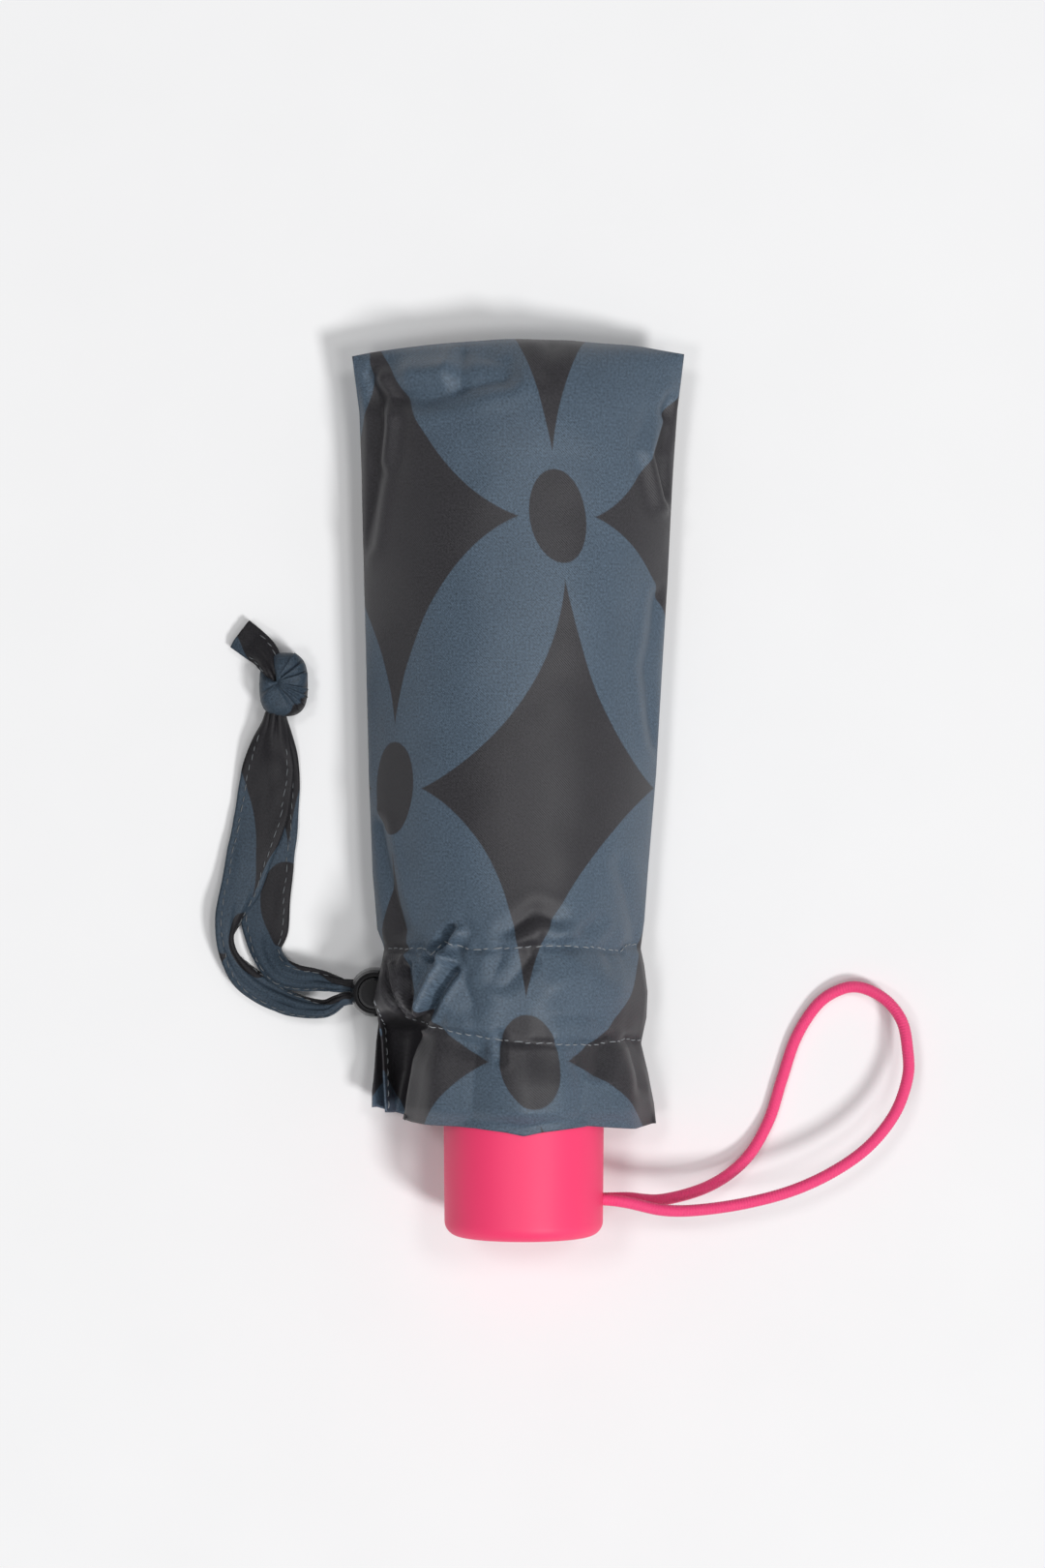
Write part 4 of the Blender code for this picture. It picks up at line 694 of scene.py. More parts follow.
def sleeve_points():
    """The bag's points and their places on the flat cloth. x, y, panel and back are views of the points."""
    points = np.array([[(x, y, z) for x, z in sleeve_section(y)] for y in sleeve_rows()])
    flat = sleeve_uv(points)
    normal = unit(np.cross(np.gradient(points, axis=1), np.gradient(points, axis=0)))
    x, y = points[..., 0], points[..., 1]
    panel, back = points[:, :HALF_COLUMNS + 1], points[:, HALF_COLUMNS + 1:]
    number = np.arange(HALF_COLUMNS + 1)
    front = ease(np.minimum(number, HALF_COLUMNS - number), 0.0, EDGE_COLUMNS)[None, :]
    in_pleat = number < PLEAT_COLUMNS - EDGE_COLUMNS
    front = front * (1.0 - in_pleat * ease(-panel[..., 1], *PLEAT_CALM))
    front *= 1.0 - ease(panel[..., 1], SEAM - 3.0, SEAM)
    relief = front_relief(panel[..., 0], panel[..., 1]) * front
    panel += normal[:, :HALF_COLUMNS + 1] * relief[..., None]
    sag = SAG * rough(back[..., 0], back[..., 1], 9.0, 17.0, 4)
    sag *= ease(np.abs(back[..., 0] - AXIS_X), 16.0, 26.0)
    back[..., 2] += sag * (1.0 - ease(back[..., 1], 112.0, SEAM))
    share = (x - AXIS_X) / HALF_WIDTH
    waves = SEAM_WAVE * rough(x, 0.0, 1.0, 12.0, 6) * ease(y, 100.0, SEAM)
    y += ease(y, 84.0, SEAM) * (SEAM_BOW - SEAM_CURVE * share ** 2) + waves
    y += lookup(share, HEM_EDGE, 1) * (1.0 - ease(y, MOUTH, MOUTH + HEM_FADE))
    panel[..., 2] -= DROOP * (1.0 - ease(panel[..., 1], MOUTH, MOUTH + DROOP_FADE)) * front
    push_out(points)
    points[..., 2] = np.maximum(points[..., 2], FLOOR_GAP)
    return points, flat


def sleeve_uv(points):
    """Place of each point on the flat cloth: arc length from the crest, and the place along the shaft."""
    arc = row_lengths(points)
    for row, ring in zip(arc, points[:, PLEAT_COLUMNS:HALF_COLUMNS, 0]):
        row -= np.interp(AXIS_X, ring, row[PLEAT_COLUMNS:HALF_COLUMNS])
    return np.stack([arc, points[..., 1]], axis=2)


def build_sleeve():
    points, flat = sleeve_points()
    rows, columns = points.shape[:2]
    faces = grid_faces(rows, columns)
    last = (rows - 1) * columns
    for i in range(HALF_COLUMNS):
        a, b = last + i, last + i + 1
        c, d = last + columns - 2 - i, last + columns - 1 - i
        if len({a, b, c, d}) == 4:
            faces.append((a, b, c, d))
    piece = mesh_piece("sleeve_cloth", points, faces, SLEEVE_FABRIC, flat, weld=0.01)
    thicken(piece, CLOTH, -1.0)
    area = face_area(piece)
    length = (SEAM - MOUTH) * MM
    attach(piece, "sleeve")
    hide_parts("sleeve")
    return piece, area, length


# Stitching: short raised thread segments

STITCH_PERIOD = 2.9
STITCH_LENGTH = 2.2
STITCH_START = 0.4
STITCH_TILT = 0.30
STITCH_ASIDE = 0.13
STITCH_SIDES = 6
THREAD_RADIUS = 0.14
THREAD_LIFT = 0.05
# Rows: share of the length, lift, share of the thickness
STITCH_FORM = ((0.0, -0.08, 0.5), (0.2, 0.10, 0.9), (0.5, 0.16, 1.0), (0.8, 0.10, 0.9), (1.0, -0.08, 0.5))


def thread_parts(places, normals):
    """Slightly uneven thread segments along a line of surface places with their normals."""
    places = np.asarray(places, float)
    lengths = arc_lengths(places)
    parts = []
    start = STITCH_START
    index = 0
    while start + STITCH_LENGTH < lengths[-1]:
        tilt = STITCH_TILT * math.sin(12.9898 * index)
        aside = STITCH_ASIDE * math.sin(39.425 * index)
        length = STITCH_LENGTH * (0.84 + 0.20 * math.sin(78.233 * index))
        centres = []
        for share, lift, _ in STITCH_FORM:
            place = at_lengths(start + share * length, lengths, places)
            normal = at_lengths(start + share * length, lengths, normals)
            side = np.cross(normal, places[-1] - places[0])
            side = side / max(np.linalg.norm(side), 1e-6)
            centres.append(place + normal * (lift + THREAD_LIFT) + side * (aside + tilt * (share - 0.5)))
        parts.append(tube(centres, [THREAD_RADIUS * size for _, _, size in STITCH_FORM], STITCH_SIDES))
        start += STITCH_PERIOD
        index += 1
    return parts


# Heights in metres, clear of the cloth
ABOVE_CLOTH = 0.09
BELOW_CLOTH = -0.03


def on_cloth(tree, line, down=True):
    """Places and normals on the cloth under (or over) a line of (x, y) points."""
    places = []
    normals = []
    direction = Vector((0.0, 0.0, -1.0 if down else 1.0))
    for x, y in even_steps(line, 0.35):
        start = Vector((x * MM, y * MM, ABOVE_CLOTH if down else BELOW_CLOTH))
        place, normal, _, _ = tree.ray_cast(start, direction)
        if place is None:
            continue
        if normal.dot(direction) > 0.0:
            normal = -normal
        places.append(np.array(place) / MM)
        normals.append(np.array(normal))
    return places, normals


SIDE_SEAM_STITCH = ((-38.6, -56.6), (-37.4, -60.0), (-36.2, -64.0), (-35.6, -73.1), (-35.2, -87.4))
UNDER_STITCHES = (-42.5, -67.0)


def build_sleeve_stitches(cloth):
    corners = [vertex.co.copy() for vertex in cloth.data.vertices]
    tree = BVHTree.FromPolygons(corners, [tuple(face.vertices) for face in cloth.data.polygons])
    parts = []
    for line in (FIRST_STITCH[1:], SECOND_STITCH, SIDE_SEAM_STITCH):
        parts += thread_parts(*on_cloth(tree, line))
    for level in UNDER_STITCHES:
        parts += thread_parts(*on_cloth(tree, ((-30.0, level), (31.0, level)), down=False))
    piece = mesh_piece("sleeve_stitches", *join_parts(parts), THREAD)
    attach(piece, "sleeve")
    return piece


# Drawstring: flat tape, folded lengthwise where it is bunched. Rows: place, width, roll in degrees

TAPE = 14.5
TAPE_THICKNESS = 0.8
INNER_TAPE = (
    (-26.0, -53.5, 13.0, 2.6, 0.0), (-38.8, -53.5, 13.0, 2.6, 0.0), (-45.8, -53.5, 13.0, 2.8, 0.0),
    (-48.5, -53.3, 12.6, 3.6, 0.0), (-54.4, -52.2, 9.6, 6.0, 8.0), (-60.5, -51.8, 7.2, 7.2, 14.0),
    (-65.6, -49.8, 5.6, 7.8, 10.0), (-68.8, -44.6, 3.2, 8.0, -6.0), (-69.2, -38.6, 1.5, 12.4, -4.0),
    (-69.4, -30.0, 0.9, 13.8, 0.0), (-68.9, -22.3, 0.9, 14.5, 0.0), (-68.0, -13.5, 0.9, 14.5, 0.0),
    (-67.3, -3.9, 0.9, 14.5, 0.0), (-66.7, 3.4, 1.0, 13.8, 0.0), (-66.4, 9.3, 1.9, 11.6, 0.0),
    (-66.3, 14.6, 3.9, 8.2, 0.0), (-66.3, 19.4, 5.0, 5.4, 0.0), (-66.0, 22.4, 5.2, 4.6, 0.0),
)
OUTER_TAPE = (
    (-26.0, -56.9, 13.0, 2.6, 0.0), (-38.8, -56.9, 13.0, 2.6, 0.0), (-45.8, -56.9, 13.0, 2.8, 0.0),
    (-48.5, -57.6, 12.4, 3.4, 0.0), (-53.3, -60.0, 9.6, 4.6, -10.0), (-61.4, -58.9, 6.2, 6.2, -16.0),
    (-68.2, -55.8, 4.0, 7.2, -14.0), (-74.2, -51.7, 3.6, 7.2, -20.0), (-77.8, -47.0, 3.6, 6.0, -40.0),
    (-79.6, -41.8, 4.2, 6.2, -52.0), (-78.7, -35.5, 4.2, 8.4, -34.0), (-75.6, -26.7, 3.4, 11.0, -14.0),
    (-73.2, -17.1, 2.9, 12.6, -5.0), (-70.6, -8.3, 2.7, 14.3, 0.0), (-69.1, 0.5, 2.7, 14.5, 0.0),
    (-68.1, 6.4, 3.7, 13.8, 0.0), (-67.3, 12.0, 5.8, 10.4, 0.0), (-66.6, 16.4, 7.2, 7.0, 0.0),
    (-66.2, 20.0, 7.8, 5.0, 0.0), (-65.8, 22.4, 7.8, 4.6, 0.0),
)
TAIL_TAPE = (
    (-65.6, 28.6, 7.6, 2.6, 0.0), (-66.6, 31.2, 9.2, 4.2, 0.0), (-67.8, 34.0, 8.6, 6.4, 0.0),
    (-69.6, 36.8, 6.6, 7.8, 6.0), (-72.6, 39.4, 4.2, 8.6, 8.0), (-76.2, 42.2, 3.0, 8.8, 6.0),
)
TAPE_STITCH = 0.74
TAPE_COLUMNS = 19
ARCH_LIMIT = 2.4
ARCH_RISE = 6.0
FOLD_HEIGHT = 0.80
FOLD_LEAST_WIDTH = 3.2
WRINKLE = 0.34
EDGE_WANDER = 0.16


class Tape:
    """A band of cloth along a route, with its fold, roll and wrinkles."""

    def __init__(self, route, seed, step=0.7, full=TAPE):
        self.path = smooth_curve(route, step)
        self.seed = seed
        self.full = full
        centre = self.path[:, :3]
        along = unit(np.gradient(centre, axis=0))
        across = unit(np.cross(along, (0.0, 0.0, 1.0)))
        up = np.cross(across, along)
        roll = np.radians(self.path[:, 4])[:, None]
        self.across = across * np.cos(roll) + up * np.sin(roll)
        self.up = up * np.cos(roll) - across * np.sin(roll)
        self.lengths = arc_lengths(centre)

    def points(self, share):
        """A line of points along the tape at a share of its half width, from -1 to 1."""
        width = self.path[:, 3]
        slack = np.clip(1.0 - width / self.full, 0.0, 1.0)
        arch = np.minimum(ARCH_LIMIT, ARCH_RISE * slack) * (width / (width + 3.0))
        lift = arch * (0.45 - share ** 2)
        folds = crisp(3.0 * math.pi * share + 0.10 * self.lengths + self.seed)
        lift += FOLD_HEIGHT * slack * (width > FOLD_LEAST_WIDTH) * folds
        lift += WRINKLE * rough(4.0 * share, self.lengths / 4.0, 0.0, 1.6, self.seed)
        edge = EDGE_WANDER * rough(self.seed, self.lengths / 6.0, 0.0, 1.0, self.seed + 3)
        spot = self.path[:, :3] + self.across * (0.5 * width * share + edge)[:, None]
        spot += self.up * lift[:, None]
        spot[:, 2] = np.maximum(spot[:, 2], 0.5 * TAPE_THICKNESS + 0.05)
        return spot

    def piece(self, name):
        shares = np.linspace(-1.0, 1.0, TAPE_COLUMNS)
        lines = np.stack([self.points(share) for share in shares], axis=1)
        flat = flat_grid(0.5 * self.full * shares, self.lengths)
        made = mesh_piece(name, lines, grid_faces(len(lines), TAPE_COLUMNS), TAPE_FABRIC, flat)
        thicken(made, TAPE_THICKNESS, 0.0)
        return made

    def stitches(self, first, last):
        """Both rows of stitches, between two distances along the tape."""
        parts = []
        chosen = (self.lengths >= first) & (self.lengths <= last)
        for share in (-TAPE_STITCH, TAPE_STITCH):
            line = self.points(share)
            across = self.points(share + 0.08) - self.points(share - 0.08)
            normals = unit(np.cross(across, np.gradient(line, axis=0)))
            normals *= np.sign(normals[:, 2:3])
            lifted = line + normals * 0.5 * TAPE_THICKNESS
            parts += thread_parts(lifted[chosen], normals[chosen])
        return parts


KNOT_PLACE = np.array((-64.0, 28.3, 6.2))
KNOT_HALF = np.array((6.6, 8.7, 5.9))
KNOT_SQUARENESS = 2.9
KNOT_ROWS = 120
KNOT_SIDES = 170
KNOT_POLE = 0.04
KNOT_PRINT_PLACE = (-37.6, 11.2)
# Folds that fan out from one place on the knot, by their directions, and the grooves between its turns
FAN_PLACE = (-1.9, 0.4)
FAN_FOLDS = (-0.92, -0.62, -0.38, -0.16, 0.35, 0.70, 1.05)
FAN_HEIGHT = 0.55
KNOT_GROOVES = ((-0.94, 0.10, 1.0), (0.70, 0.07, 0.7), (2.25, 0.50, 4.2), (-2.5, 0.16, 0.5))
KNOT_PIT = 1.4
KNOT_PIT_RADIUS = 1.2


def knot_relief(x, y):
    """How far the folds of the knot stand out of its plain form."""
    away = np.hypot(x - FAN_PLACE[0], y - FAN_PLACE[1])
    angle = np.arctan2(y - FAN_PLACE[1], x - FAN_PLACE[0])
    turns = []
    heights = []
    for low, high in zip(FAN_FOLDS, FAN_FOLDS[1:]):
        turns += [low + 0.03, high - 0.04]
        heights += [-FAN_HEIGHT, FAN_HEIGHT]
    relief = np.interp(angle, turns, heights, 0.0, 0.0) * ease(away, 0.3, 4.0)
    for direction, width, depth in KNOT_GROOVES:
        relief -= depth * np.exp(-((angle - direction) / width) ** 2) * ease(away, 0.2, 2.4)
    relief -= KNOT_PIT * np.exp(-(away / KNOT_PIT_RADIUS) ** 2)
    return relief + 0.40 * rough(x, y, 0.0, 3.4, 21)


def build_knot():
    """An overhand knot pulled tight: a lump of wrapped cloth with its folds."""
    tilts = np.linspace(KNOT_POLE, math.pi - KNOT_POLE, KNOT_ROWS)
    tilt, turn = np.meshgrid(tilts, ring_angles(KNOT_SIDES), indexing="ij")
    outward = np.stack([np.sin(tilt) * np.cos(turn), -np.cos(tilt), -np.sin(tilt) * np.sin(turn)], axis=2)
    size = np.sum(np.abs(outward / KNOT_HALF) ** KNOT_SQUARENESS, axis=2) ** (-1.0 / KNOT_SQUARENESS)
    plain = outward * size[..., None]
    relief = knot_relief(plain[..., 0], plain[..., 1]) * ease(outward[..., 2], -0.1, 0.55)
    points = KNOT_PLACE + plain + outward * relief[..., None]
    points[..., 2] = np.maximum(points[..., 2], 0.1)
    flat = np.stack([KNOT_HALF[0] * turn, KNOT_HALF[1] * tilt], axis=2) + KNOT_PRINT_PLACE
    piece = mesh_piece("knot_cloth", points, tube_faces(KNOT_ROWS, KNOT_SIDES), TAPE_FABRIC, flat)
    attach(piece, "sleeve")
    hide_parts("drawstring_knot")
    return piece


def bunch_up(piece):
    """Bake a piece's placement into its mesh."""
    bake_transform(piece)


# Rows: piece, route, the node that it replaces, seed
STRANDS = (
    ("inner_strand", INNER_TAPE, "drawstring_strand_a", 2),
    ("outer_strand", OUTER_TAPE, "drawstring_strand_b", 9),
)
# Where the rows of stitches show, as distances along the tape
TAIL_STITCHES = (4.5, 16.5)
STRAND_STITCHES = 25.5
KNOT_COVER = 8.0


def build_drawstring():
    knot = build_knot()
    tail = Tape(TAIL_TAPE, 5, 0.5, 10.5)
    tail_piece = tail.piece("tail_cloth")
    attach(tail_piece, "sleeve")
    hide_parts("drawstring_tail")
    parts = tail.stitches(*TAIL_STITCHES)
    for name, route, node_name, seed in STRANDS:
        band = Tape(route, seed)
        piece = band.piece(name)
        bunch_up(piece)
        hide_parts(node_name)
        parts += band.stitches(STRAND_STITCHES, band.lengths[-1] - KNOT_COVER)
    stitches = mesh_piece("strap_stitches", *join_parts(parts), TAPE_THREAD)
    bunch_up(stitches)


# Wrist loop: covered elastic cord, with the route of its solid

LOOP_ROUTE = (
    (13.8, -110.3, 24.8), (23.1, -110.3, 24.8), (29.5, -111.1, 24.8), (38.9, -113.3, 22.8),
    (48.3, -113.5, 20.8), (61.2, -111.9, 18.5), (73.9, -108.7, 16.8), (85.4, -103.6, 15.2),
    (95.0, -96.9, 13.8), (102.2, -88.1, 12.2), (105.8, -78.5, 10.5), (105.9, -70.9, 9.0),
    (104.5, -63.4, 7.2), (100.2, -57.7, 5.4), (93.9, -54.5, 3.8), (88.2, -55.0, 2.7), (81.9, -59.2, 1.9),
    (76.1, -68.2, 1.7), (72.1, -79.9, 1.7), (68.4, -91.3, 2.0), (62.0, -101.4, 4.2), (52.0, -108.1, 9.0),
    (39.1, -111.2, 15.5), (29.5, -110.3, 20.2), (23.1, -110.3, 21.2), (13.8, -110.3, 21.2),
)
LOOP_RADIUS = 1.58
LOOP_SIDES = 16
WRAP_PITCH = 0.80
WRAP_HEIGHT = 0.055


def build_loop():
    centres = smooth_curve(LOOP_ROUTE, 0.16)
    lengths = arc_lengths(centres)
    turns = ring_angles(LOOP_SIDES)
    radii = LOOP_RADIUS + WRAP_HEIGHT * np.cos(TURN * lengths[:, None] / WRAP_PITCH + turns[None, :])
    points, faces = tube(centres, radii, LOOP_SIDES)
    flat = flat_grid(LOOP_RADIUS * turns, lengths)
    piece = mesh_piece("wrist_loop_cord", points, faces, PINK_CORD, flat)
    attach(piece, "handle")
    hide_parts("wrist_loop")


# Canopy: sixteen half gores between the valleys and the ribs

HEM = -69.0
GORE_TOP = 98.5
RIB_RADIUS_HEM = 20.1
RIB_RADIUS_TOP = 16.7
RIB_TAPER_END = 86.0
VALLEY_DEPTH = 5.6
GORE_ROWS = 96
GORE_COLUMNS = 13
GORE_RIPPLE = 2.2
GORE_SOFTNESS = 0.7
SCALLOP = 3.5
TOP_DRAW = 5.4
CANOPY_THICKNESS = 0.35
# Rows: radius, place along the shaft. The least width that a sheet can state, over the 9 mm
# or so of a folded half gore
CROWN_PROFILE = ((12.4, 97.2), (12.1, 98.6), (11.2, 100.0), (9.6, 101.0), (7.6, 101.5), (5.3, 101.7))
CROWN_SIDES = 64
CROWN_RIPPLE = 0.16


def rib_angle(index):
    return TURN * (index + 0.5) / RIB_COUNT


def radial(angle):
    return np.array((math.cos(angle), 0.0, -math.sin(angle)))


def ridge_radius(y):
    """Radius of the folded cloth over a rib."""
    plain = np.interp(y, (HEM, RIB_TAPER_END), (RIB_RADIUS_HEM, RIB_RADIUS_TOP))
    return plain - TOP_DRAW * ease(y, RIB_TAPER_END, GORE_TOP) ** 1.6


def gore_points(index, side):
    """One half gore from its valley to its rib: soft folds along it, and a scalloped hem."""
    points = np.zeros((GORE_ROWS, GORE_COLUMNS, 3))
    for j, y in enumerate(np.linspace(HEM, GORE_TOP, GORE_ROWS)):
        ridge = float(ridge_radius(y))
        narrow = 1.0 - 0.75 * float(ease(y, RIB_TAPER_END - 20.0, GORE_TOP))
        for i, share in enumerate(np.linspace(0.0, 1.0, GORE_COLUMNS)):
            angle = rib_angle(index) + side * (1.0 - share) * math.pi / RIB_COUNT
            radius = ridge - VALLEY_DEPTH * narrow * (1.0 - share) ** 1.2
            radius += math.sin(3.0 * math.pi * share) * share * (1.0 - share) * GORE_RIPPLE * narrow
            soft = noise.noise(Vector((6.0 * share, y / 16.0, 3.1 * index + side)))
            radius += GORE_SOFTNESS * soft * narrow * share * (1.0 - share) * 4.0
            lift = SCALLOP * (1.0 - share) ** 2 * (1.0 - float(ease(y, HEM, HEM + 20.0)))
            points[j, i] = (AXIS_X, y + lift, AXIS_Z) + radius * radial(angle)
    return points[:, ::-1] if side > 0 else points


def build_gore(index, side):
    points = gore_points(index, side)
    flat = np.stack([row_lengths(points) + 60.0 * index + 20.0 * side, points[..., 1]], axis=2)
    name = f"canopy_gore_{index + 1}_{'a' if side < 0 else 'b'}"
    piece = mesh_piece(name, points, grid_faces(GORE_ROWS, GORE_COLUMNS), CANOPY_FABRIC, flat)
    thicken(piece, CANOPY_THICKNESS, 1.0)
    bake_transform(piece)


def lathe_points(profile, sides):
    points = []
    for radius, y in profile:
        for angle in ring_angles(sides):
            points.append(np.array((AXIS_X, y, AXIS_Z)) + radius * radial(angle))
    return points, grid_faces(len(profile), sides, wrap=True)


def build_canopy():
    for index in range(RIB_COUNT):
        for side in (-1, 1):
            build_gore(index, side)
    points, faces = lathe_points(CROWN_PROFILE, CROWN_SIDES)
    for row in range(len(CROWN_PROFILE) - 1):
        for i, angle in enumerate(ring_angles(CROWN_SIDES)):
            ripple = CROWN_RIPPLE * math.sin(RIB_COUNT * angle) * (1.0 - row / len(CROWN_PROFILE))
            points[row * CROWN_SIDES + i] = points[row * CROWN_SIDES + i] + ripple * radial(angle)
    flat = [(point[0], point[2]) for point in points]
    cap = mesh_piece("canopy_crown", points, faces, CANOPY_FABRIC, flat)
    thicken(cap, CANOPY_THICKNESS, 1.0)
    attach(cap, "frame")
    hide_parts("canopy")


TIE_START = -59.0
TIE_END = 3.0
TIE_HALF = 5.0
TIE_ROUND = 4.0
TIE_ROWS = 70
TIE_COLUMNS = 13
TIE_LIFT = 0.95
TIE_DROOP = 0.75
TIE_WRINKLE = 0.22
TIE_THICKNESS = 0.7
TIE_PRINT_PLACE = 200.0


def build_tie():
    """Strap over the first rib: rounded free end, drooping edges and two rows of stitches."""
    outward = radial(rib_angle(0))
    sideways = np.array((math.sin(rib_angle(0)), 0.0, math.cos(rib_angle(0))))
    rows = np.linspace(TIE_START, TIE_END, TIE_ROWS)
    shares = np.linspace(-1.0, 1.0, TIE_COLUMNS)
    points = np.zeros((TIE_ROWS, TIE_COLUMNS, 3))
    for j, y in enumerate(rows):
        from_end = min(TIE_END - y, TIE_ROUND) / TIE_ROUND
        half = TIE_HALF * math.sqrt(1.0 - (1.0 - from_end) ** 2 * 0.75)
        for i, share in enumerate(shares):
            wrinkle = TIE_WRINKLE * noise.noise(Vector((share, y / 9.0, 2.2)))
            radius = ridge_radius(y) + TIE_LIFT + wrinkle - TIE_DROOP * share ** 2
            points[j, i] = np.array((AXIS_X, y, AXIS_Z)) + radius * outward + half * share * sideways
    flat = flat_grid(TIE_HALF * shares + TIE_PRINT_PLACE, rows)
    faces = grid_faces(TIE_ROWS, TIE_COLUMNS)
    strap = mesh_piece("tie_strap_cloth", points, faces, CANOPY_FABRIC, flat)
    thicken(strap, TIE_THICKNESS, 0.0)
    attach(strap, "rib_1")
    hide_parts("tie_strap")
    parts = []
    for number in (2, TIE_COLUMNS - 3):
        line = points[:, number] + 0.5 * TIE_THICKNESS * outward
        parts += thread_parts(line, np.repeat(outward[None, :], TIE_ROWS, axis=0))
    stitches = mesh_piece("tie_strap_stitches", *join_parts(parts), THREAD)
    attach(stitches, "rib_1")


RUN_EDGE = 0.2


def build_run():
    """The drawstring's hidden run in the channel, with eased edges."""
    piece = node_copy("drawstring_channel_run", "channel_tape", LINING)
    mesh = piece.data
    layer = mesh.uv_layers.new(name=CLOTH_UV)
    for loop in mesh.loops:
        place = mesh.vertices[loop.vertex_index].co
        layer.data[loop.index].uv = (place.x + place.z, place.y)
    ease_edges = piece.modifiers.new("edges", "BEVEL")
    ease_edges.width = RUN_EDGE * MM
    ease_edges.segments = 2
    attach(piece, "sleeve")
    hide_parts("drawstring_channel_run")


# Handle: smooth shell with a rounded base, and the slot that the loop goes through

SHELL_RADIUS = 21.6
SHELL_BASE_RADIUS = 21.3
SHELL_BASE = -120.0
SHELL_WALL = 2.4
SHELL_FILLET = 4.0
SHELL_LIP = 0.7
SHELL_FLOOR = 3.0
SHELL_POLE = 0.02
SHELL_SIDES = 128
SHARP_ANGLE = 35.0
# The slot's place along the shaft, the radius of its ends, half the way between them and its depth
LOOP_HOLE = -110.3
SLOT_RADIUS = 1.9
SLOT_HALF = 1.8
SLOT_DEPTH = (-6.0, 4.0)
SLOT_SIDES = 32


def shell_profile():
    """Radius and place along the shaft: the base, its rounded edge, the wall, the lip and the inside."""
    centre_radius = SHELL_BASE_RADIUS - SHELL_FILLET
    profile = [(radius, SHELL_BASE) for radius in (SHELL_POLE, 6.0, 12.0, centre_radius - 1.0)]
    for angle in np.linspace(0.0, 0.5 * math.pi, 13):
        radius = centre_radius + SHELL_FILLET * math.sin(angle)
        profile.append((radius, SHELL_BASE + SHELL_FILLET * (1.0 - math.cos(angle))))
    for share in (0.05, 0.15, 0.25, 0.4, 0.6, 0.8, 0.97):
        y = SHELL_BASE + SHELL_FILLET + share * (HANDLE_TOP - SHELL_LIP - SHELL_BASE - SHELL_FILLET)
        profile.append((SHELL_BASE_RADIUS + (SHELL_RADIUS - SHELL_BASE_RADIUS) * share, y))
    inner = SHELL_BASE_RADIUS - SHELL_WALL
    profile += [(SHELL_RADIUS - 0.05, HANDLE_TOP - 0.5), (SHELL_RADIUS - 0.3, HANDLE_TOP - 0.12)]
    profile += [(SHELL_RADIUS - 0.8, HANDLE_TOP), (inner + SHELL_LIP, HANDLE_TOP)]
    profile += [(inner, HANDLE_TOP - SHELL_LIP), (inner, SHELL_BASE + SHELL_FLOOR)]
    return profile + [(SHELL_POLE, SHELL_BASE + SHELL_FLOOR)]


def build_handle():
    points, faces = lathe_points(shell_profile(), SHELL_SIDES)
    shell = mesh_piece("handle_grip", points, [face[::-1] for face in faces], PINK_PLASTIC)
    centre = np.array((AXIS_X + SHELL_RADIUS, LOOP_HOLE, AXIS_Z))
    points = []
    for depth in SLOT_DEPTH:
        for angle in ring_angles(SLOT_SIDES):
            up = SLOT_RADIUS * math.sin(angle)
            up += math.copysign(SLOT_HALF, up)
            points.append(centre + (depth, SLOT_RADIUS * math.cos(angle), up))
    faces = tube_faces(len(SLOT_DEPTH), SLOT_SIDES)
    slot = mesh_piece("loop_slot", points, [face[::-1] for face in faces], PINK_PLASTIC)
    cut = shell.modifiers.new("slot", "BOOLEAN")
    cut.object = slot
    cut.operation = "DIFFERENCE"
    cut.solver = "EXACT"
    evaluated = shell.evaluated_get(bpy.context.evaluated_depsgraph_get())
    mesh = bpy.data.meshes.new_from_object(evaluated)
    shell.modifiers.remove(cut)
    shell.data = mesh
    mesh.set_sharp_from_angle(angle=math.radians(SHARP_ANGLE))
    bpy.data.objects.remove(slot, do_unlink=True)
    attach(shell, "handle")
    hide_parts("handle_shell")


# Springs. Rows: node, piece, body, joint, axis, the end that stays, and the share of the length left at the
# joint's limit

SPRINGS = (
    ("toggle_spring", "toggle_coil", "toggle", "toggle_press", (0.0, 0.0, 1.0), (-38.8, -55.2, 7.5), 0.42),
    ("catch_spring", "catch_leaf", "frame", "catch_press", (1.0, 0.0, 0.0), (-2.6, 65.0, 23.0), 0.77),
)


def build_springs():
    for source, name, body, joint, axis, fixed, keep in SPRINGS:
        piece = node_copy(source, name, BRIGHT_STEEL)
        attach(piece, body)
        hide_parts(source)
        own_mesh(piece)


# Finishes of the nodes that stay

NODE_FINISH = (
    (BLACK_GLOSS, ("toggle_body", "toggle_button")),
    (TUBE_STEEL, ("upper_tube", "middle_tube", "lower_tube")),
    (BRIGHT_STEEL, ("crown_wire", "runner_wire", "cord_anchor", "runner_catch")),
    (BLACK_PLASTIC, ("crown", "runner", "ferrule_cap", "handle_core")),
)
RIB_PARTS = ("top_rib", "middle_rib", "tip_rib", "stretcher")


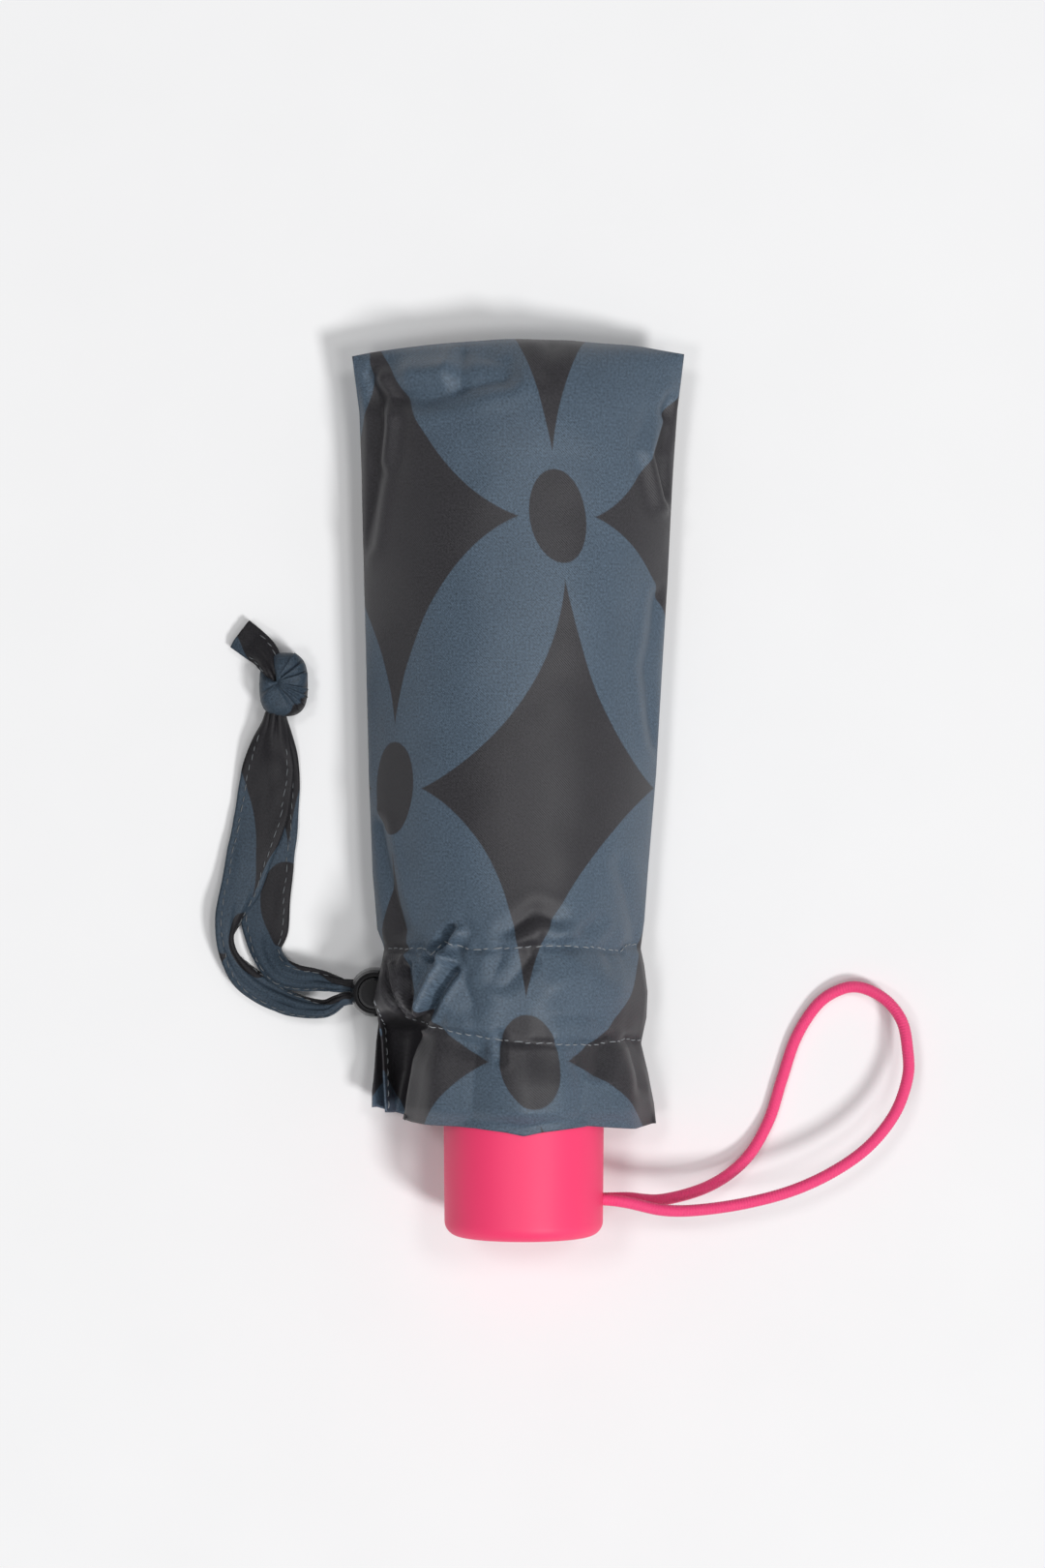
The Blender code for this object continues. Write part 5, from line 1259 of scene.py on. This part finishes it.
def finish_node(name, material):
    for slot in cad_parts[name].material_slots:
        slot.link = "OBJECT"
        slot.material = material


def finish_nodes():
    for material, names in NODE_FINISH:
        for name in names:
            finish_node(name, material)
    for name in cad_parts:
        if name.startswith(RIB_PARTS):
            finish_node(name, RIB_STEEL)


# Stage: pale floor, weak even sky, one strong light from the lower right and four weak ones overhead

FLOOR_HALF = 3000.0
FLOOR_COLOUR = (0.885, 0.885, 0.892)
SKY_LEVEL = 0.20
LAMPS = (
    # place, width, power
    ((3.0, -2.5, 5.0), 1.2, 208.0),
    ((1.5, 1.2, 5.0), 1.0, 30.0),
    ((1.5, -1.2, 5.0), 1.0, 30.0),
    ((-1.5, 1.2, 5.0), 1.0, 34.0),
    ((-1.5, -1.2, 5.0), 1.0, 34.0),
)


def floor_material():
    pale = Finish("pale_floor")
    speck = pale.noise(pale.solid_places(), 30.0, 5.0)
    pale.paint(FLOOR_COLOUR, pale.spread(speck, 0.985, 1.015))
    pale.set({"Roughness": 0.9, "Specular IOR Level": 0.1})
    return pale.material


def build_stage():
    corners = [(x * FLOOR_HALF, y * FLOOR_HALF, 0.0) for x, y in ((-1, -1), (1, -1), (1, 1), (-1, 1))]
    floor = mesh_piece("floor", corners, [(0, 1, 2, 3)], floor_material())
    world = bpy.data.worlds.new("studio")
    world.use_nodes = True
    sky = world.node_tree.nodes["Background"]
    sky.inputs["Color"].default_value = (1.0, 1.0, 1.0, 1.0)
    sky.inputs["Strength"].default_value = SKY_LEVEL
    bpy.context.scene.world = world
    for place, width, power in LAMPS:
        light = bpy.data.lights.new("lamp", "AREA")
        light.shape = "DISK"
        light.size = width
        light.energy = power
        lamp = bpy.data.objects.new("lamp", light)
        lamp.location = place
        lamp.rotation_euler = Vector(place).to_track_quat("Z", "Y").to_euler()
        bpy.context.collection.objects.link(lamp)


# Making, cords first

build_loop()
build_drawstring()
sleeve, sleeve_area, sleeve_length = build_sleeve()
sleeve_thread = build_sleeve_stitches(sleeve)
build_run()
build_canopy()
build_tie()
build_handle()
build_springs()
finish_nodes()
build_stage()
